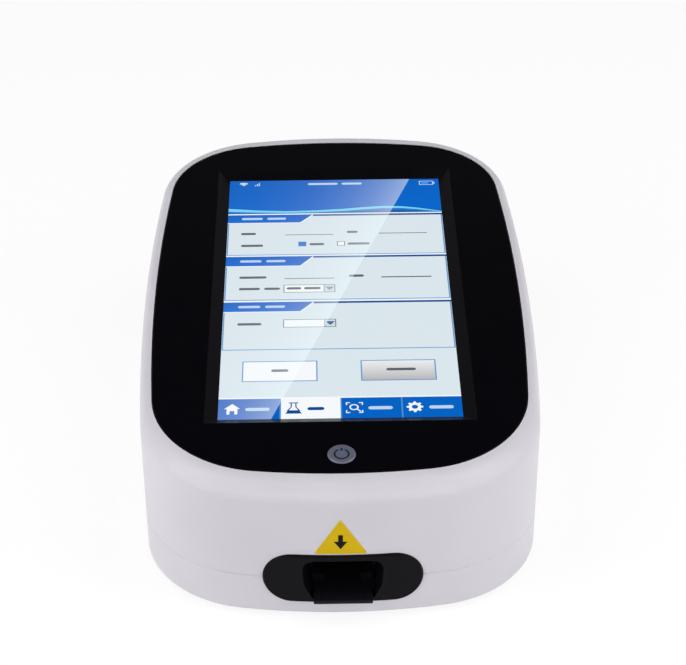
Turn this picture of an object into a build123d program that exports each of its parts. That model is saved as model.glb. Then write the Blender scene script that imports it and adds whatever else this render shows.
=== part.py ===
"""Bench reader for test cassettes: a low oval case with a sloping touch display, a power
button, and a motor-driven tray that carries a cassette in under the optics.

Millimetres. +Z is up and the tray comes out towards -Y. The origin is on the table, at the
centre of the footprint, tray included.
"""

import os
from math import acos, ceil, cos, pi, radians, sin, tan

from build123d import *

os.makedirs("parts", exist_ok=True)

# ---- Case ----------------------------------------------------------------------------
case_width = 169.0
case_depth = 261.5
case_side_bulge = 6.6  # how far a long side bows out past its corners
case_end_bulge = 13.3
case_corner_radius = 49.0
wall = 2.5
floor_thickness = 2.5
crown_depth = 7.0  # rounded rim, from the sloping top down to the upright walls
crown_steps = 6
rim_land = 0.3  # flat left between the bezel's recess and the rounded rim
base_edge_radius = 1.5
seam_height = 18.2  # parting line of the two shells, above the underside
seam_groove = 0.3  # bevel of each shell along the parting line
tongue_height = 2.0  # lip of the lower shell that stands inside the upper one
tongue_thickness = 1.1
panel_height = 75.0  # top face above the table, at the middle of the case
panel_tilt = 5.0  # degrees, rear end higher
deck_thickness = 2.0  # ledge of the upper shell under the bezel
part_gap = 0.15  # between pieces that are fitted into each other

# ---- Feet and case screws ------------------------------------------------------------
foot_height = 2.0
foot_radius = 7.0
foot_recess = 0.8
foot_inset_x = 22.5  # centre of a foot in from the case's widest line
foot_inset_y = 50.0  # in from the case's end
post_inset_x = 29.5  # centre of a case screw in from the widest line
post_inset_y = 20.0
post_radius = 4.5
m3_radius = 1.5
m3_head_radius = 2.75
m3_head_height = 2.2
m2_radius = 1.0
m2_head_radius = 1.9
m2_head_height = 1.3
thread_gap = 0.05  # radial room round a screw's shank
seat_depth = 8.0  # where a case screw's head sits, above the underside
case_screw_grip = 12.0  # shank inside the upper post

# ---- Display -------------------------------------------------------------------------
bezel_side_inset = 5.0  # bezel in from the case's widest line
bezel_end_inset = 9.6
bezel_side_bulge = 6.3
bezel_end_bulge = 9.8
bezel_rear_radius = 40.5  # corners at the rear end
bezel_front_radius = 48.0
bezel_thickness = 2.8
bezel_edge = 0.4
screen_top_border = 29.13  # black above the lit area of an 8 inch panel
screen_bottom_border = 36.53
screen_share = 9 / 16  # lit area's width from its length
bevel_width = 5.3  # sloping frame round the screen
glass_border = 8.8
glass_thickness = 1.1
lcd_border = 8.1
lcd_thickness = 5.3
window_gap = 2.5  # between the glass and the deck's opening
strap_thickness = 1.2  # straps that hold the panel up from behind
strap_width = 12.0
strap_boss_radius = 3.2
strap_boss_room = 0.8  # between the deck's opening and a strap's boss
strap_overhang = 1.0  # strap past its bosses
strap_screw_length = 5.0

# ---- Power button --------------------------------------------------------------------
button_radius = 5.6
button_below_screen = 25.25  # centre of the button from the lit area's lower edge
button_gap = 0.2
button_proud = 0.5
button_edge = 0.5
button_travel = 0.6
flange_radius = 6.6
flange_thickness = 1.0
stem_radius = 2.0
switch_size = 6.0
switch_height = 3.5
plunger_radius = 1.7
plunger_rise = 1.0  # plunger above the switch
plunger_depth = 1.5  # plunger inside the switch
running_gap = 0.05  # radial, round sliding and turning round pieces
button_board_width = 30.0
button_board_length = 12.0
button_post_radius = 2.6
board_thickness = 1.6

# ---- Tray mouth ----------------------------------------------------------------------
trim_width = 63.7
trim_height = 23.5
trim_proud = 1.0
trim_edge = 0.6
trim_flange = 2.0
trim_lip = 2.5  # flange past the plate, behind the walls
mouth_top_width = 33.2
mouth_waist_width = 31.8
mouth_bottom_width = 24.8
mouth_height = 19.1
mouth_radius = 4.8
mouth_waist_height = 6.5  # where the sides start to draw in towards the tray
mouth_waist_radius = 12.0
mouth_bottom = 8.8  # above the underside of the case
throat_length = 14.0  # behind the front of the case
throat_top_width = 27.6
throat_waist_width = 27.0
throat_height = 14.0
throat_radius = 3.0
throat_wall = 1.4

# ---- Tray ----------------------------------------------------------------------------
tray_proud = 4.8  # tray's front past the case's front, at rest
tray_width = 23.6
tray_length = 130.0
tray_floor = 1.0
tray_lift = 0.4  # tray above the lower edge of the mouth
tray_stroke = 45.0
channel_width = 17.8
channel_length = 92.0
lip_height = 1.5
tray_edge = 0.35  # bevel along the arms and the lip
lip_thickness = 1.2
low_arm_length = 12.0  # stretch behind the lip where the arms stay low
arm_height = 4.7
hook_size = 1.6
arrow_length = 6.0
arrow_width = 5.0
arrow_depth = 0.3
arrow_back = 6.5  # arrow's tip behind the lip
flag_length = 7.0
flag_lift = 1.5  # flag above the tray's floor
flag_thickness = 1.0

# ---- Tray guide ----------------------------------------------------------------------
guide_width = 88.0
guide_plate = 2.0
guide_wall = 2.0
guide_side_gap = 0.3
guide_under_gap = 0.2
guide_lip_gap = 0.3
guide_lip = 1.5  # rail over each arm of the tray
guide_lip_thickness = 1.2
guide_behind_throat = 3.0
guide_past_tray = 14.0
guide_screw_inset = 5.0
guide_screw_length = 5.0

# ---- Drive ---------------------------------------------------------------------------
gear_module = 0.8
pinion_teeth = 20
gear_addendum = 0.75
gear_dedendum = 0.9
pressure_angle = 20.0
backlash = 0.12
flank_chords = 4
pinion_width = 3.0
pinion_lift = 0.4  # pinion above the tray's floor
rack_end = 3.0  # rack past the contact, at both ends of the stroke
drive_front = 81.0  # drive axis behind the tray's front, at rest
shaft_radius = 1.5
shaft_tail = 0.8  # shaft below the pinion
pinion_relief = 1.6  # room round the pinion in the guide's wall
motor_radius = 11.0
motor_height = 16.0
motor_pilot_radius = 4.0
motor_bore_depth = 9.0
motor_plate = 1.5
motor_leg_room = 3.0  # between the motor and the bracket's leg
motor_foot = 8.0
motor_bracket_edge = 0.5
motor_foot_span = 24.0
motor_ear_span = 13.5  # motor screw from the drive axis
motor_ear_radius = 2.8
motor_ear_thickness = 1.0

# ---- Optics --------------------------------------------------------------------------
optics_back = 44.0  # optical axis behind the tray's front, at rest
optics_width = 34.0
optics_depth = 32.0
optics_height = 20.0
optics_clearance = 1.6  # housing above the guide's rails
optics_leg = 3.0
optics_leg_gap = 2.0  # between the guide's wall and a leg
optics_foot = 7.0
lens_radius = 7.0
lens_thickness = 2.4
lens_crown = 1.2
lens_seat = 1.0
lens_lift = 3.0  # lens above the housing's underside
lamp_radius = 2.5
lamp_length = 9.0
lamp_angle = 40.0  # degrees off the optical axis
lamp_reach = 15.5  # lamp's tip from the point that it lights
sensor_die = 8.0
sensor_die_height = 2.0
cover_wall = 1.5
cover_height = 7.0

# ---- Home sensor ---------------------------------------------------------------------
fork_width = 9.0
fork_depth = 5.0
fork_height = 9.0
fork_slot = 3.0
fork_slot_depth = 7.0

# ---- Main board ----------------------------------------------------------------------
board_side_room = 1.5  # between the main board and the case's screw posts
board_front_room = 14.2  # behind the tray guide
board_lift = 24.8  # main board above the case's floor
board_behind = 9.0  # board's rear edge ahead of the sockets' faces
board_hole_inset = 6.0
board_post_radius = 3.5
board_screw_length = 6.0
chip_size = 18.0
chip_height = 1.8
sink_room = 11.5  # between the display's connector and the heat sink
heat_sink_size = 30.0
heat_sink_base = 2.0
heat_sink_height = 9.0
heat_sink_fins = 7
fin_thickness = 1.2
buzzer_radius = 6.0
buzzer_height = 6.5
buzzer_bore = 1.2
buzzer_offset_x = 32.0
flex_width = 22.0
flex_thickness = 0.3
flex_corner = 4.0
flex_tail = 14.0  # stretch that lies along the display's back
connector_length = 26.0
connector_depth = 5.0
connector_height = 3.0
connector_inset = 9.0  # connector's centre behind the board's front edge

# ---- Rear sockets --------------------------------------------------------------------
pocket_width = 92.0
pocket_height = 20.0
pocket_depth = 4.0
pocket_floor = 2.0
socket_length = 14.0
socket_gap = 0.3
usb_width = 14.4
usb_height = 7.2
usb_wall = 0.6
usb_depth = 11.0
usb_tongue = 1.8
usb_tongue_side = 1.0
usb_tongue_room = 1.2  # beside the tongue
usb_pitch = 22.0
usb_inset = 19.0  # outer socket's centre in from the board's edge
inlet_width = 11.0
inlet_inset = 21.0  # inlet's centre in from the board's edge
inlet_bore_radius = 3.3
inlet_pin_radius = 1.0
inlet_depth = 10.0
socket_mouth = 0.4  # cut-out past a socket's mouth

# ---- Vents and marker ----------------------------------------------------------------
vent_width = 2.4
vent_length = 40.0
vent_count = 9
vent_pitch = 6.0
rear_vent_height = 14.0
rear_vent_count = 11
rear_vent_pitch = 5.0
rear_vent_above = 8.0  # above the socket pocket
marker_width = 21.0
marker_height = 16.8
marker_radius = 0.5
marker_thickness = 0.2
marker_bond = 0.02  # adhesive under the marker
marker_above_trim = 0.8
marker_x = -0.9

# ---- Sizes and places worked out from those above ------------------------------------
tilt = radians(panel_tilt)
bezel_width = case_width - 2 * bezel_side_inset
bezel_length = case_depth - 2 * bezel_end_inset
screen_length = bezel_length - screen_top_border - screen_bottom_border
screen_width = screen_length * screen_share
screen_up = (screen_bottom_border - screen_top_border) / 2
post_x = case_width / 2 - post_inset_x
post_y = case_depth / 2 - post_inset_y
case_y = tray_proud / 2
front_y = case_y - case_depth / 2
rear_y = case_y + case_depth / 2
base_z = foot_height
seam_z = base_z + seam_height
floor_z = base_z + floor_thickness
mouth_z = base_z + mouth_bottom
tray_z = mouth_z + tray_lift
tray_front = front_y - tray_proud
tray_rear = tray_front + tray_length
arm_z = tray_z + arm_height
channel_z = tray_z + tray_floor
guide_z = tray_z - guide_under_gap
guide_base_z = guide_z - guide_plate
rail_z = arm_z + guide_lip_gap + guide_lip_thickness
guide_inner = tray_width / 2 + guide_side_gap
guide_front = front_y + throat_length + guide_behind_throat
guide_rear = tray_rear + guide_past_tray
guide_length = guide_rear - guide_front
guide_mid = (guide_front + guide_rear) / 2
pitch_radius = gear_module * pinion_teeth / 2
tooth_pitch = pi * gear_module
rack_line = tray_width / 2 - gear_addendum
drive_x = rack_line + pitch_radius
drive_y = tray_front + drive_front
rack_teeth = ceil((tray_stroke + 2 * rack_end) / tooth_pitch)
rack_front = drive_y - (ceil(rack_end / tooth_pitch) + 0.5) * tooth_pitch
rack_length = (rack_teeth + 1) * tooth_pitch
optics_y = tray_front + optics_back
optics_z = rail_z + optics_clearance
board_z = floor_z + board_lift
board_top = board_z + board_thickness
socket_face = rear_y - pocket_depth - pocket_floor - socket_gap
board_width = 2 * (post_x - post_radius - board_side_room)
board_rear = socket_face - board_behind
board_front = guide_rear + board_front_room
board_length = board_rear - board_front
board_mid = (board_rear + board_front) / 2
usb_x = board_width / 2 - usb_inset
inlet_x = inlet_inset - board_width / 2
usb_z = board_top + usb_height / 2
inlet_z = board_top + inlet_width / 2
pocket_z = (usb_z + inlet_z) / 2
glass_width = screen_width + 2 * glass_border
glass_length = screen_length + 2 * glass_border
window_width = glass_width + 2 * window_gap
window_length = glass_length + 2 * window_gap
deck_depth = bezel_thickness + deck_thickness
glass_depth = bezel_thickness + glass_thickness
lcd_depth = glass_depth + lcd_thickness
boss_x = window_width / 2 + strap_boss_room + strap_boss_radius
boss_y = screen_length / 2 - strap_boss_radius
strap_length = 2 * (boss_x + strap_boss_radius + strap_overhang)
button_up = screen_up - screen_length / 2 - button_below_screen
switch_depth = deck_depth + plunger_rise
button_board_depth = switch_depth + switch_height


def level(height):
    """Horizontal plane at a height above the table, centred on the case."""
    return Plane((0, case_y, height))


def facing_front(y, z):
    """Upright plane that looks out of the front of the case."""
    return Plane(origin=(0, y, z), x_dir=(1, 0, 0), z_dir=(0, -1, 0))


def facing_right(x):
    """Upright plane that looks to the right, its own x running to the rear."""
    return Plane(origin=(x, 0, 0), x_dir=(0, 1, 0), z_dir=(1, 0, 0))


def on_panel(up=0.0, depth=0.0):
    """Plane along the sloping top, moved up the slope and down into the case."""
    return Plane(panel_plane.location * Location((0, up, -depth)))


def from_behind(up, depth):
    """Plane along the sloping top that looks down into the case."""
    front = on_panel(up, depth)
    return Plane(front.origin, front.x_dir, -front.z_dir)


def bowed_outline(width, length, side_bulge, end_bulge, rear_radius, front_radius):
    """Face of four shallow arcs with rounded corners."""
    corner_x = width / 2 - side_bulge
    corner_y = length / 2 - end_bulge
    with BuildSketch() as outline:
        with BuildLine():
            ThreePointArc((corner_x, -corner_y), (width / 2, 0), (corner_x, corner_y))
            ThreePointArc((corner_x, corner_y), (0, length / 2), (-corner_x, corner_y))
            ThreePointArc((-corner_x, corner_y), (-width / 2, 0), (-corner_x, -corner_y))
            ThreePointArc((-corner_x, -corner_y), (0, -length / 2), (corner_x, -corner_y))
        make_face()
        fillet(outline.vertices().group_by(Axis.Y)[-1], rear_radius)
        fillet(outline.vertices().group_by(Axis.Y)[0], front_radius)
    return outline.sketch


def bezel_shape(growth):
    """The bezel's outline, grown evenly."""
    return bowed_outline(
        bezel_width + 2 * growth, bezel_length + 2 * growth,
        bezel_side_bulge, bezel_end_bulge,
        bezel_rear_radius + growth, bezel_front_radius + growth,
    )


def crown_shape(share):
    """Outline between the rim's inner edge, at 0, and the walls, at 1."""
    land = part_gap + rim_land

    def between(inner, outer):
        return inner + (outer - inner) * share

    return bowed_outline(
        between(bezel_width + 2 * land, case_width),
        between(bezel_length + 2 * land, case_depth / cos(tilt)),
        between(bezel_side_bulge, case_side_bulge),
        between(bezel_end_bulge, case_end_bulge),
        between(bezel_rear_radius + land, case_corner_radius),
        between(bezel_front_radius + land, case_corner_radius),
    )


def case_prism(growth, low, high):
    """The case's plan, grown or shrunk, between two heights."""
    with BuildPart() as prism:
        with BuildSketch(level(low)):
            add(case_outline)
            if growth:
                offset(amount=growth)
        extrude(amount=high - low)
    return prism.part


def mouth_face(top, waist, bottom, height, radius):
    """Cup-shaped outline with rounded upper corners, standing on the mouth's lower edge."""
    with BuildSketch() as face:
        with BuildLine():
            Polyline(
                (-bottom / 2, 0), (bottom / 2, 0), (waist / 2, mouth_waist_height),
                (top / 2, height), (-top / 2, height), (-waist / 2, mouth_waist_height),
                close=True,
            )
        make_face()
        fillet(face.vertices().group_by(Axis.Y)[-1], radius)
        fillet(
            face.vertices().filter_by_position(Axis.Y, mouth_waist_height, mouth_waist_height),
            mouth_waist_radius,
        )
    return face.sketch


def screw(head_radius, head_height, shank_radius, length):
    """Pan-head screw, its head on the local plane and its shank pointing down."""
    Cylinder(head_radius, head_height, align=(Align.CENTER, Align.CENTER, Align.MIN))
    Cylinder(shank_radius, length, align=(Align.CENTER, Align.CENTER, Align.MAX))


def block(width, length, height, upward=True):
    """Box standing on the local plane, or hanging from it."""
    Box(
        width, length, height,
        align=(Align.CENTER, Align.CENTER, Align.MIN if upward else Align.MAX),
    )


panel_plane = Plane(
    origin=(0, case_y, panel_height), x_dir=(1, 0, 0), z_dir=(0, -sin(tilt), cos(tilt))
)
case_outline = bowed_outline(
    case_width, case_depth, case_side_bulge, case_end_bulge,
    case_corner_radius, case_corner_radius,
)
seam_outline = bowed_outline(
    case_width - 2 * seam_groove, case_depth - 2 * seam_groove,
    case_side_bulge, case_end_bulge,
    case_corner_radius - seam_groove, case_corner_radius - seam_groove,
)
bezel_outline = bezel_shape(0)
trim_seat = SlotOverall(trim_width + 2 * part_gap, trim_height + 2 * part_gap)

# ---- Lower shell: floor, screw posts, bosses and vents -------------------------------
tongue_space = case_prism(-(wall - tongue_thickness), seam_z, seam_z + tongue_height)
with BuildPart() as lower_shell:
    with BuildSketch(level(base_z)):
        add(case_outline)
    extrude(amount=seam_height - seam_groove)
    fillet(lower_shell.faces().sort_by(Axis.Z)[0].edges(), base_edge_radius)
    with BuildSketch(level(seam_z - seam_groove)):
        add(case_outline)
    with BuildSketch(level(seam_z)):
        add(seam_outline)
    loft()
    add(tongue_space)
    with BuildSketch(level(floor_z)):
        offset(case_outline, amount=-wall)
    extrude(amount=seam_height + tongue_height, mode=Mode.SUBTRACT)
    with BuildSketch(level(floor_z)):
        with GridLocations(2 * post_x, 2 * post_y, 2, 2):
            Circle(post_radius)
    extrude(amount=seam_z - floor_z)
    with BuildSketch(level(base_z)):
        with GridLocations(2 * post_x, 2 * post_y, 2, 2):
            Circle(m3_head_radius + part_gap)
    extrude(amount=seat_depth, mode=Mode.SUBTRACT)
    with BuildSketch(level(base_z)):
        with GridLocations(2 * post_x, 2 * post_y, 2, 2):
            Circle(m3_radius + thread_gap)
    extrude(amount=seam_height, mode=Mode.SUBTRACT)
    with BuildSketch(level(base_z)):
        with GridLocations(
            case_width - 2 * foot_inset_x, case_depth - 2 * foot_inset_y, 2, 2
        ):
            Circle(foot_radius + part_gap)
    extrude(amount=foot_recess, mode=Mode.SUBTRACT)
    with BuildSketch(Plane((0, guide_mid, floor_z))):
        with GridLocations(
            guide_width - 2 * guide_screw_inset, guide_length - 2 * guide_screw_inset, 2, 2
        ):
            Circle(board_post_radius)
            Circle(m2_radius + thread_gap, mode=Mode.SUBTRACT)
    extrude(amount=guide_base_z - floor_z)
    with BuildSketch(Plane((0, board_mid, floor_z))):
        with GridLocations(
            board_width - 2 * board_hole_inset, board_length - 2 * board_hole_inset, 2, 2
        ):
            Circle(board_post_radius)
            Circle(m2_radius + thread_gap, mode=Mode.SUBTRACT)
    extrude(amount=board_lift)
    with BuildSketch(Plane((0, board_mid, base_z))):
        with GridLocations(vent_pitch, 0, vent_count, 1):
            SlotOverall(vent_length, vent_width, rotation=90)
    extrude(amount=floor_thickness, mode=Mode.SUBTRACT)
    with BuildSketch(facing_front(front_y + throat_length, seam_z)):
        add(trim_seat)
    extrude(amount=2 * throat_length, mode=Mode.SUBTRACT)

# ---- Upper shell: walls, sloping deck, posts and the recessed rear pocket ------------
upper_space = case_prism(-wall, seam_z, 2 * panel_height)
pocket_pad = case_prism(-wall / 2, seam_z, panel_height)
with BuildPart() as upper_cavity:
    add(upper_space)
    split(bisect_by=on_panel(depth=deck_depth), keep=Keep.BOTTOM)
with BuildPart() as rear_pad:
    with BuildSketch(Plane.XZ.offset(-rear_y)):
        with Locations((0, pocket_z)):
            SlotOverall(pocket_width + 2 * wall, pocket_height + 2 * wall)
    extrude(amount=pocket_depth + pocket_floor)
    add(pocket_pad, mode=Mode.INTERSECT)
with BuildPart() as crown:
    for step in range(crown_steps + 1):
        turn = pi / 2 * step / crown_steps
        drop = crown_depth * (1 - cos(turn))
        with BuildSketch(on_panel(-drop * tan(tilt) * sin(turn), drop)):
            add(crown_shape(sin(turn)))
    loft()
with BuildPart() as upper_shell:
    with BuildSketch(level(seam_z)):
        add(seam_outline)
    with BuildSketch(level(seam_z + seam_groove)):
        add(case_outline)
    with BuildSketch(on_panel(-crown_depth * tan(tilt), crown_depth)):
        add(crown_shape(1))
    loft(ruled=True)
    add(crown.part)
    add(upper_cavity.part, mode=Mode.SUBTRACT)
    with BuildSketch(level(seam_z)):
        offset(case_outline, amount=-(wall - tongue_thickness - part_gap))
        offset(case_outline, amount=-wall, mode=Mode.SUBTRACT)
    extrude(amount=tongue_height + part_gap, mode=Mode.SUBTRACT)
    with BuildSketch(level(seam_z)):
        with GridLocations(2 * post_x, 2 * post_y, 2, 2):
            Circle(post_radius)
    extrude(until=Until.NEXT)
    with BuildSketch(level(seam_z)):
        with GridLocations(2 * post_x, 2 * post_y, 2, 2):
            Circle(m3_radius + thread_gap)
    extrude(amount=case_screw_grip + m3_radius, mode=Mode.SUBTRACT)
    with BuildSketch(on_panel(depth=bezel_thickness)):
        add(bezel_shape(part_gap))
    extrude(amount=bezel_thickness + crown_depth, mode=Mode.SUBTRACT)
    with BuildSketch(on_panel(screen_up, bezel_thickness)):
        Rectangle(window_width, window_length)
    extrude(amount=-deck_thickness, mode=Mode.SUBTRACT)
    with BuildSketch(on_panel(button_up, bezel_thickness)):
        Circle(flange_radius + button_gap)
    extrude(amount=-deck_thickness, mode=Mode.SUBTRACT)
    with BuildSketch(on_panel(screen_up, deck_depth)):
        with GridLocations(2 * boss_x, 2 * boss_y, 2, 2):
            Circle(strap_boss_radius)
            Circle(m2_radius + thread_gap, mode=Mode.SUBTRACT)
    extrude(amount=-(lcd_depth - deck_depth))
    with BuildSketch(on_panel(button_up, deck_depth)):
        with GridLocations(button_board_width - 2 * button_post_radius, 0, 2, 1):
            Circle(button_post_radius)
            Circle(m2_radius + thread_gap, mode=Mode.SUBTRACT)
    extrude(amount=-(button_board_depth - deck_depth))
    add(rear_pad.part)
    with BuildSketch(Plane.XZ.offset(-rear_y)):
        with Locations((0, pocket_z)):
            SlotOverall(pocket_width, pocket_height)
    extrude(amount=pocket_depth, mode=Mode.SUBTRACT)
    with BuildSketch(Plane.XZ.offset(-rear_y)):
        with Locations((usb_x, usb_z), (usb_x - usb_pitch, usb_z)):
            Rectangle(usb_width + 2 * socket_mouth, usb_height + 2 * socket_mouth)
        with Locations((inlet_x, inlet_z)):
            Circle(inlet_width / 2 - socket_mouth)
        with Locations((0, pocket_z + pocket_height / 2 + rear_vent_above + rear_vent_height / 2)):
            with GridLocations(rear_vent_pitch, 0, rear_vent_count, 1):
                SlotOverall(rear_vent_height, vent_width, rotation=90)
    extrude(amount=pocket_depth + 2 * wall, mode=Mode.SUBTRACT)
    with BuildSketch(facing_front(front_y + throat_length, seam_z)):
        add(trim_seat)
    extrude(amount=2 * throat_length, mode=Mode.SUBTRACT)

# ---- Feet ----------------------------------------------------------------------------
foot_places = {
    "front_left": (-1, -1),
    "front_right": (1, -1),
    "rear_left": (-1, 1),
    "rear_right": (1, 1),
}
for place, (side, end) in foot_places.items():
    foot_x = side * (case_width / 2 - foot_inset_x)
    foot_y = case_y + end * (case_depth / 2 - foot_inset_y)
    with BuildPart(Plane((foot_x, foot_y, 0))) as foot:
        Cylinder(
            foot_radius, foot_height + foot_recess,
            align=(Align.CENTER, Align.CENTER, Align.MIN),
        )
        chamfer(foot.faces().sort_by(Axis.Z)[0].edges(), foot_recess)
    foot.part.label = f"foot_{place}"
    export_step(foot.part, f"parts/foot_{place}.step")

# ---- Case screws, driven in from below -----------------------------------------------
case_screw_length = seam_height - seat_depth + case_screw_grip
with BuildPart(Plane(origin=(0, case_y, base_z + seat_depth), z_dir=(0, 0, -1))) as case_screws:
    with GridLocations(2 * post_x, 2 * post_y, 2, 2):
        screw(m3_head_radius, m3_head_height, m3_radius, case_screw_length)

# ---- Display: bezel, glass, panel and the straps behind it ---------------------------
with BuildPart() as window_funnel:
    with BuildSketch(on_panel(screen_up)):
        Rectangle(screen_width + 2 * bevel_width, screen_length + 2 * bevel_width)
    with BuildSketch(on_panel(screen_up, bezel_thickness)):
        Rectangle(screen_width, screen_length)
    loft()
with BuildPart() as display_bezel:
    with BuildSketch(panel_plane):
        add(bezel_outline)
    extrude(amount=-bezel_thickness)
    chamfer(display_bezel.faces().sort_by(Axis.Z)[-1].edges(), bezel_edge)
    add(window_funnel.part, mode=Mode.SUBTRACT)
    with BuildSketch(on_panel(button_up)):
        Circle(button_radius + button_gap)
    extrude(amount=-bezel_thickness, mode=Mode.SUBTRACT)

with BuildPart() as touch_glass:
    with BuildSketch(on_panel(screen_up, bezel_thickness)):
        Rectangle(glass_width, glass_length)
    extrude(amount=-glass_thickness)

with BuildPart() as lcd_module:
    with BuildSketch(on_panel(screen_up, glass_depth)):
        Rectangle(screen_width + 2 * lcd_border, screen_length + 2 * lcd_border)
    extrude(amount=-lcd_thickness)

with BuildPart() as lcd_straps:
    with BuildSketch(on_panel(screen_up, lcd_depth)):
        with GridLocations(0, 2 * boss_y, 1, 2):
            Rectangle(strap_length, strap_width)
        with GridLocations(2 * boss_x, 2 * boss_y, 2, 2):
            Circle(m2_radius + thread_gap, mode=Mode.SUBTRACT)
    extrude(amount=-strap_thickness)

with BuildPart(from_behind(screen_up, lcd_depth + strap_thickness)) as lcd_screws:
    with GridLocations(2 * boss_x, 2 * boss_y, 2, 2):
        screw(m2_head_radius, m2_head_height, m2_radius, strap_screw_length)

# ---- Power button, its switch and its board ------------------------------------------
with BuildPart(on_panel(button_up, bezel_thickness)) as power_button:
    Cylinder(
        button_radius, bezel_thickness + button_proud,
        align=(Align.CENTER, Align.CENTER, Align.MIN),
    )
    chamfer(power_button.faces().sort_by(Axis.Z)[-1].edges(), button_edge)
    Cylinder(flange_radius, flange_thickness, align=(Align.CENTER, Align.CENTER, Align.MAX))
    Cylinder(stem_radius, deck_thickness, align=(Align.CENTER, Align.CENTER, Align.MAX))

with BuildPart(on_panel(button_up, switch_depth)) as switch_plunger:
    Cylinder(plunger_radius, plunger_rise, align=(Align.CENTER, Align.CENTER, Align.MIN))
    Cylinder(plunger_radius, plunger_depth, align=(Align.CENTER, Align.CENTER, Align.MAX))

with BuildPart(on_panel(button_up, switch_depth)) as button_switch:
    block(switch_size, switch_size, switch_height, upward=False)
    Cylinder(
        plunger_radius + running_gap, plunger_depth + 2 * button_travel,
        align=(Align.CENTER, Align.CENTER, Align.MAX), mode=Mode.SUBTRACT,
    )

with BuildPart() as button_board:
    with BuildSketch(on_panel(button_up, button_board_depth)):
        Rectangle(button_board_width, button_board_length)
        with GridLocations(button_board_width - 2 * button_post_radius, 0, 2, 1):
            Circle(m2_radius + thread_gap, mode=Mode.SUBTRACT)
    extrude(amount=-board_thickness)

with BuildPart(from_behind(button_up, button_board_depth + board_thickness)) as board_pins:
    with GridLocations(button_board_width - 2 * button_post_radius, 0, 2, 1):
        screw(m2_head_radius, m2_head_height, m2_radius, strap_screw_length)

# ---- Tray trim: plate in the front wall, flange behind it, throat for the tray -------
trim_front = case_prism(trim_proud, base_z, 2 * seam_z)
trim_back = case_prism(-(wall + part_gap + trim_flange), base_z, 2 * seam_z)
flange_front = case_prism(-(wall + part_gap), base_z, 2 * seam_z)
with BuildPart() as throat:
    with BuildSketch(facing_front(front_y + wall, mouth_z)):
        add(
            mouth_face(
                throat_top_width + 2 * throat_wall, throat_waist_width + 2 * throat_wall,
                mouth_bottom_width + 2 * throat_wall,
                throat_height + throat_wall, throat_radius + throat_wall,
            )
        )
    extrude(amount=wall - throat_length)
with BuildPart() as trim_ring:
    with BuildSketch(facing_front(front_y, seam_z)):
        SlotOverall(trim_width + 2 * trim_lip, trim_height + 2 * trim_lip)
    extrude(amount=-throat_length)
    add(flange_front, mode=Mode.INTERSECT)
    add(trim_back, mode=Mode.SUBTRACT)
    with BuildSketch(level(floor_z + part_gap)):
        Rectangle(case_width, case_depth + tray_proud)
    extrude(amount=-seam_z, mode=Mode.SUBTRACT)
with BuildPart() as mouth_funnel:
    with BuildSketch(facing_front(front_y - 2 * trim_proud, mouth_z)):
        add(
            mouth_face(
                mouth_top_width, mouth_waist_width, mouth_bottom_width, mouth_height, mouth_radius
            )
        )
    with BuildSketch(facing_front(front_y + throat_length, mouth_z)):
        add(
            mouth_face(
                throat_top_width, throat_waist_width, mouth_bottom_width,
                throat_height, throat_radius,
            )
        )
    loft()
with BuildPart() as tray_trim:
    with BuildSketch(facing_front(front_y + throat_length, seam_z)):
        SlotOverall(trim_width, trim_height)
    extrude(amount=2 * throat_length)
    add(trim_front, mode=Mode.INTERSECT)
    add(trim_back, mode=Mode.SUBTRACT)
    chamfer(tray_trim.faces().sort_by(Axis.Y)[0].edges(), trim_edge)
    add(trim_ring.part)
    add(throat.part)
    add(mouth_funnel.part, mode=Mode.SUBTRACT)

# ---- Marker on the front wall --------------------------------------------------------
marker_z = seam_z + trim_height / 2 + marker_above_trim
marker_front = case_prism(marker_bond + marker_thickness, seam_z, panel_height)
marker_back = case_prism(marker_bond, seam_z, panel_height)
with BuildPart() as marker_label:
    with BuildSketch(facing_front(front_y + wall, marker_z)) as marker_face:
        with BuildLine():
            Polyline(
                (marker_x - marker_width / 2, 0), (marker_x + marker_width / 2, 0),
                (marker_x, marker_height), close=True,
            )
        make_face()
        fillet(marker_face.vertices(), marker_radius)
    extrude(amount=2 * wall)
    add(marker_front, mode=Mode.INTERSECT)
    add(marker_back, mode=Mode.SUBTRACT)

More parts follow.
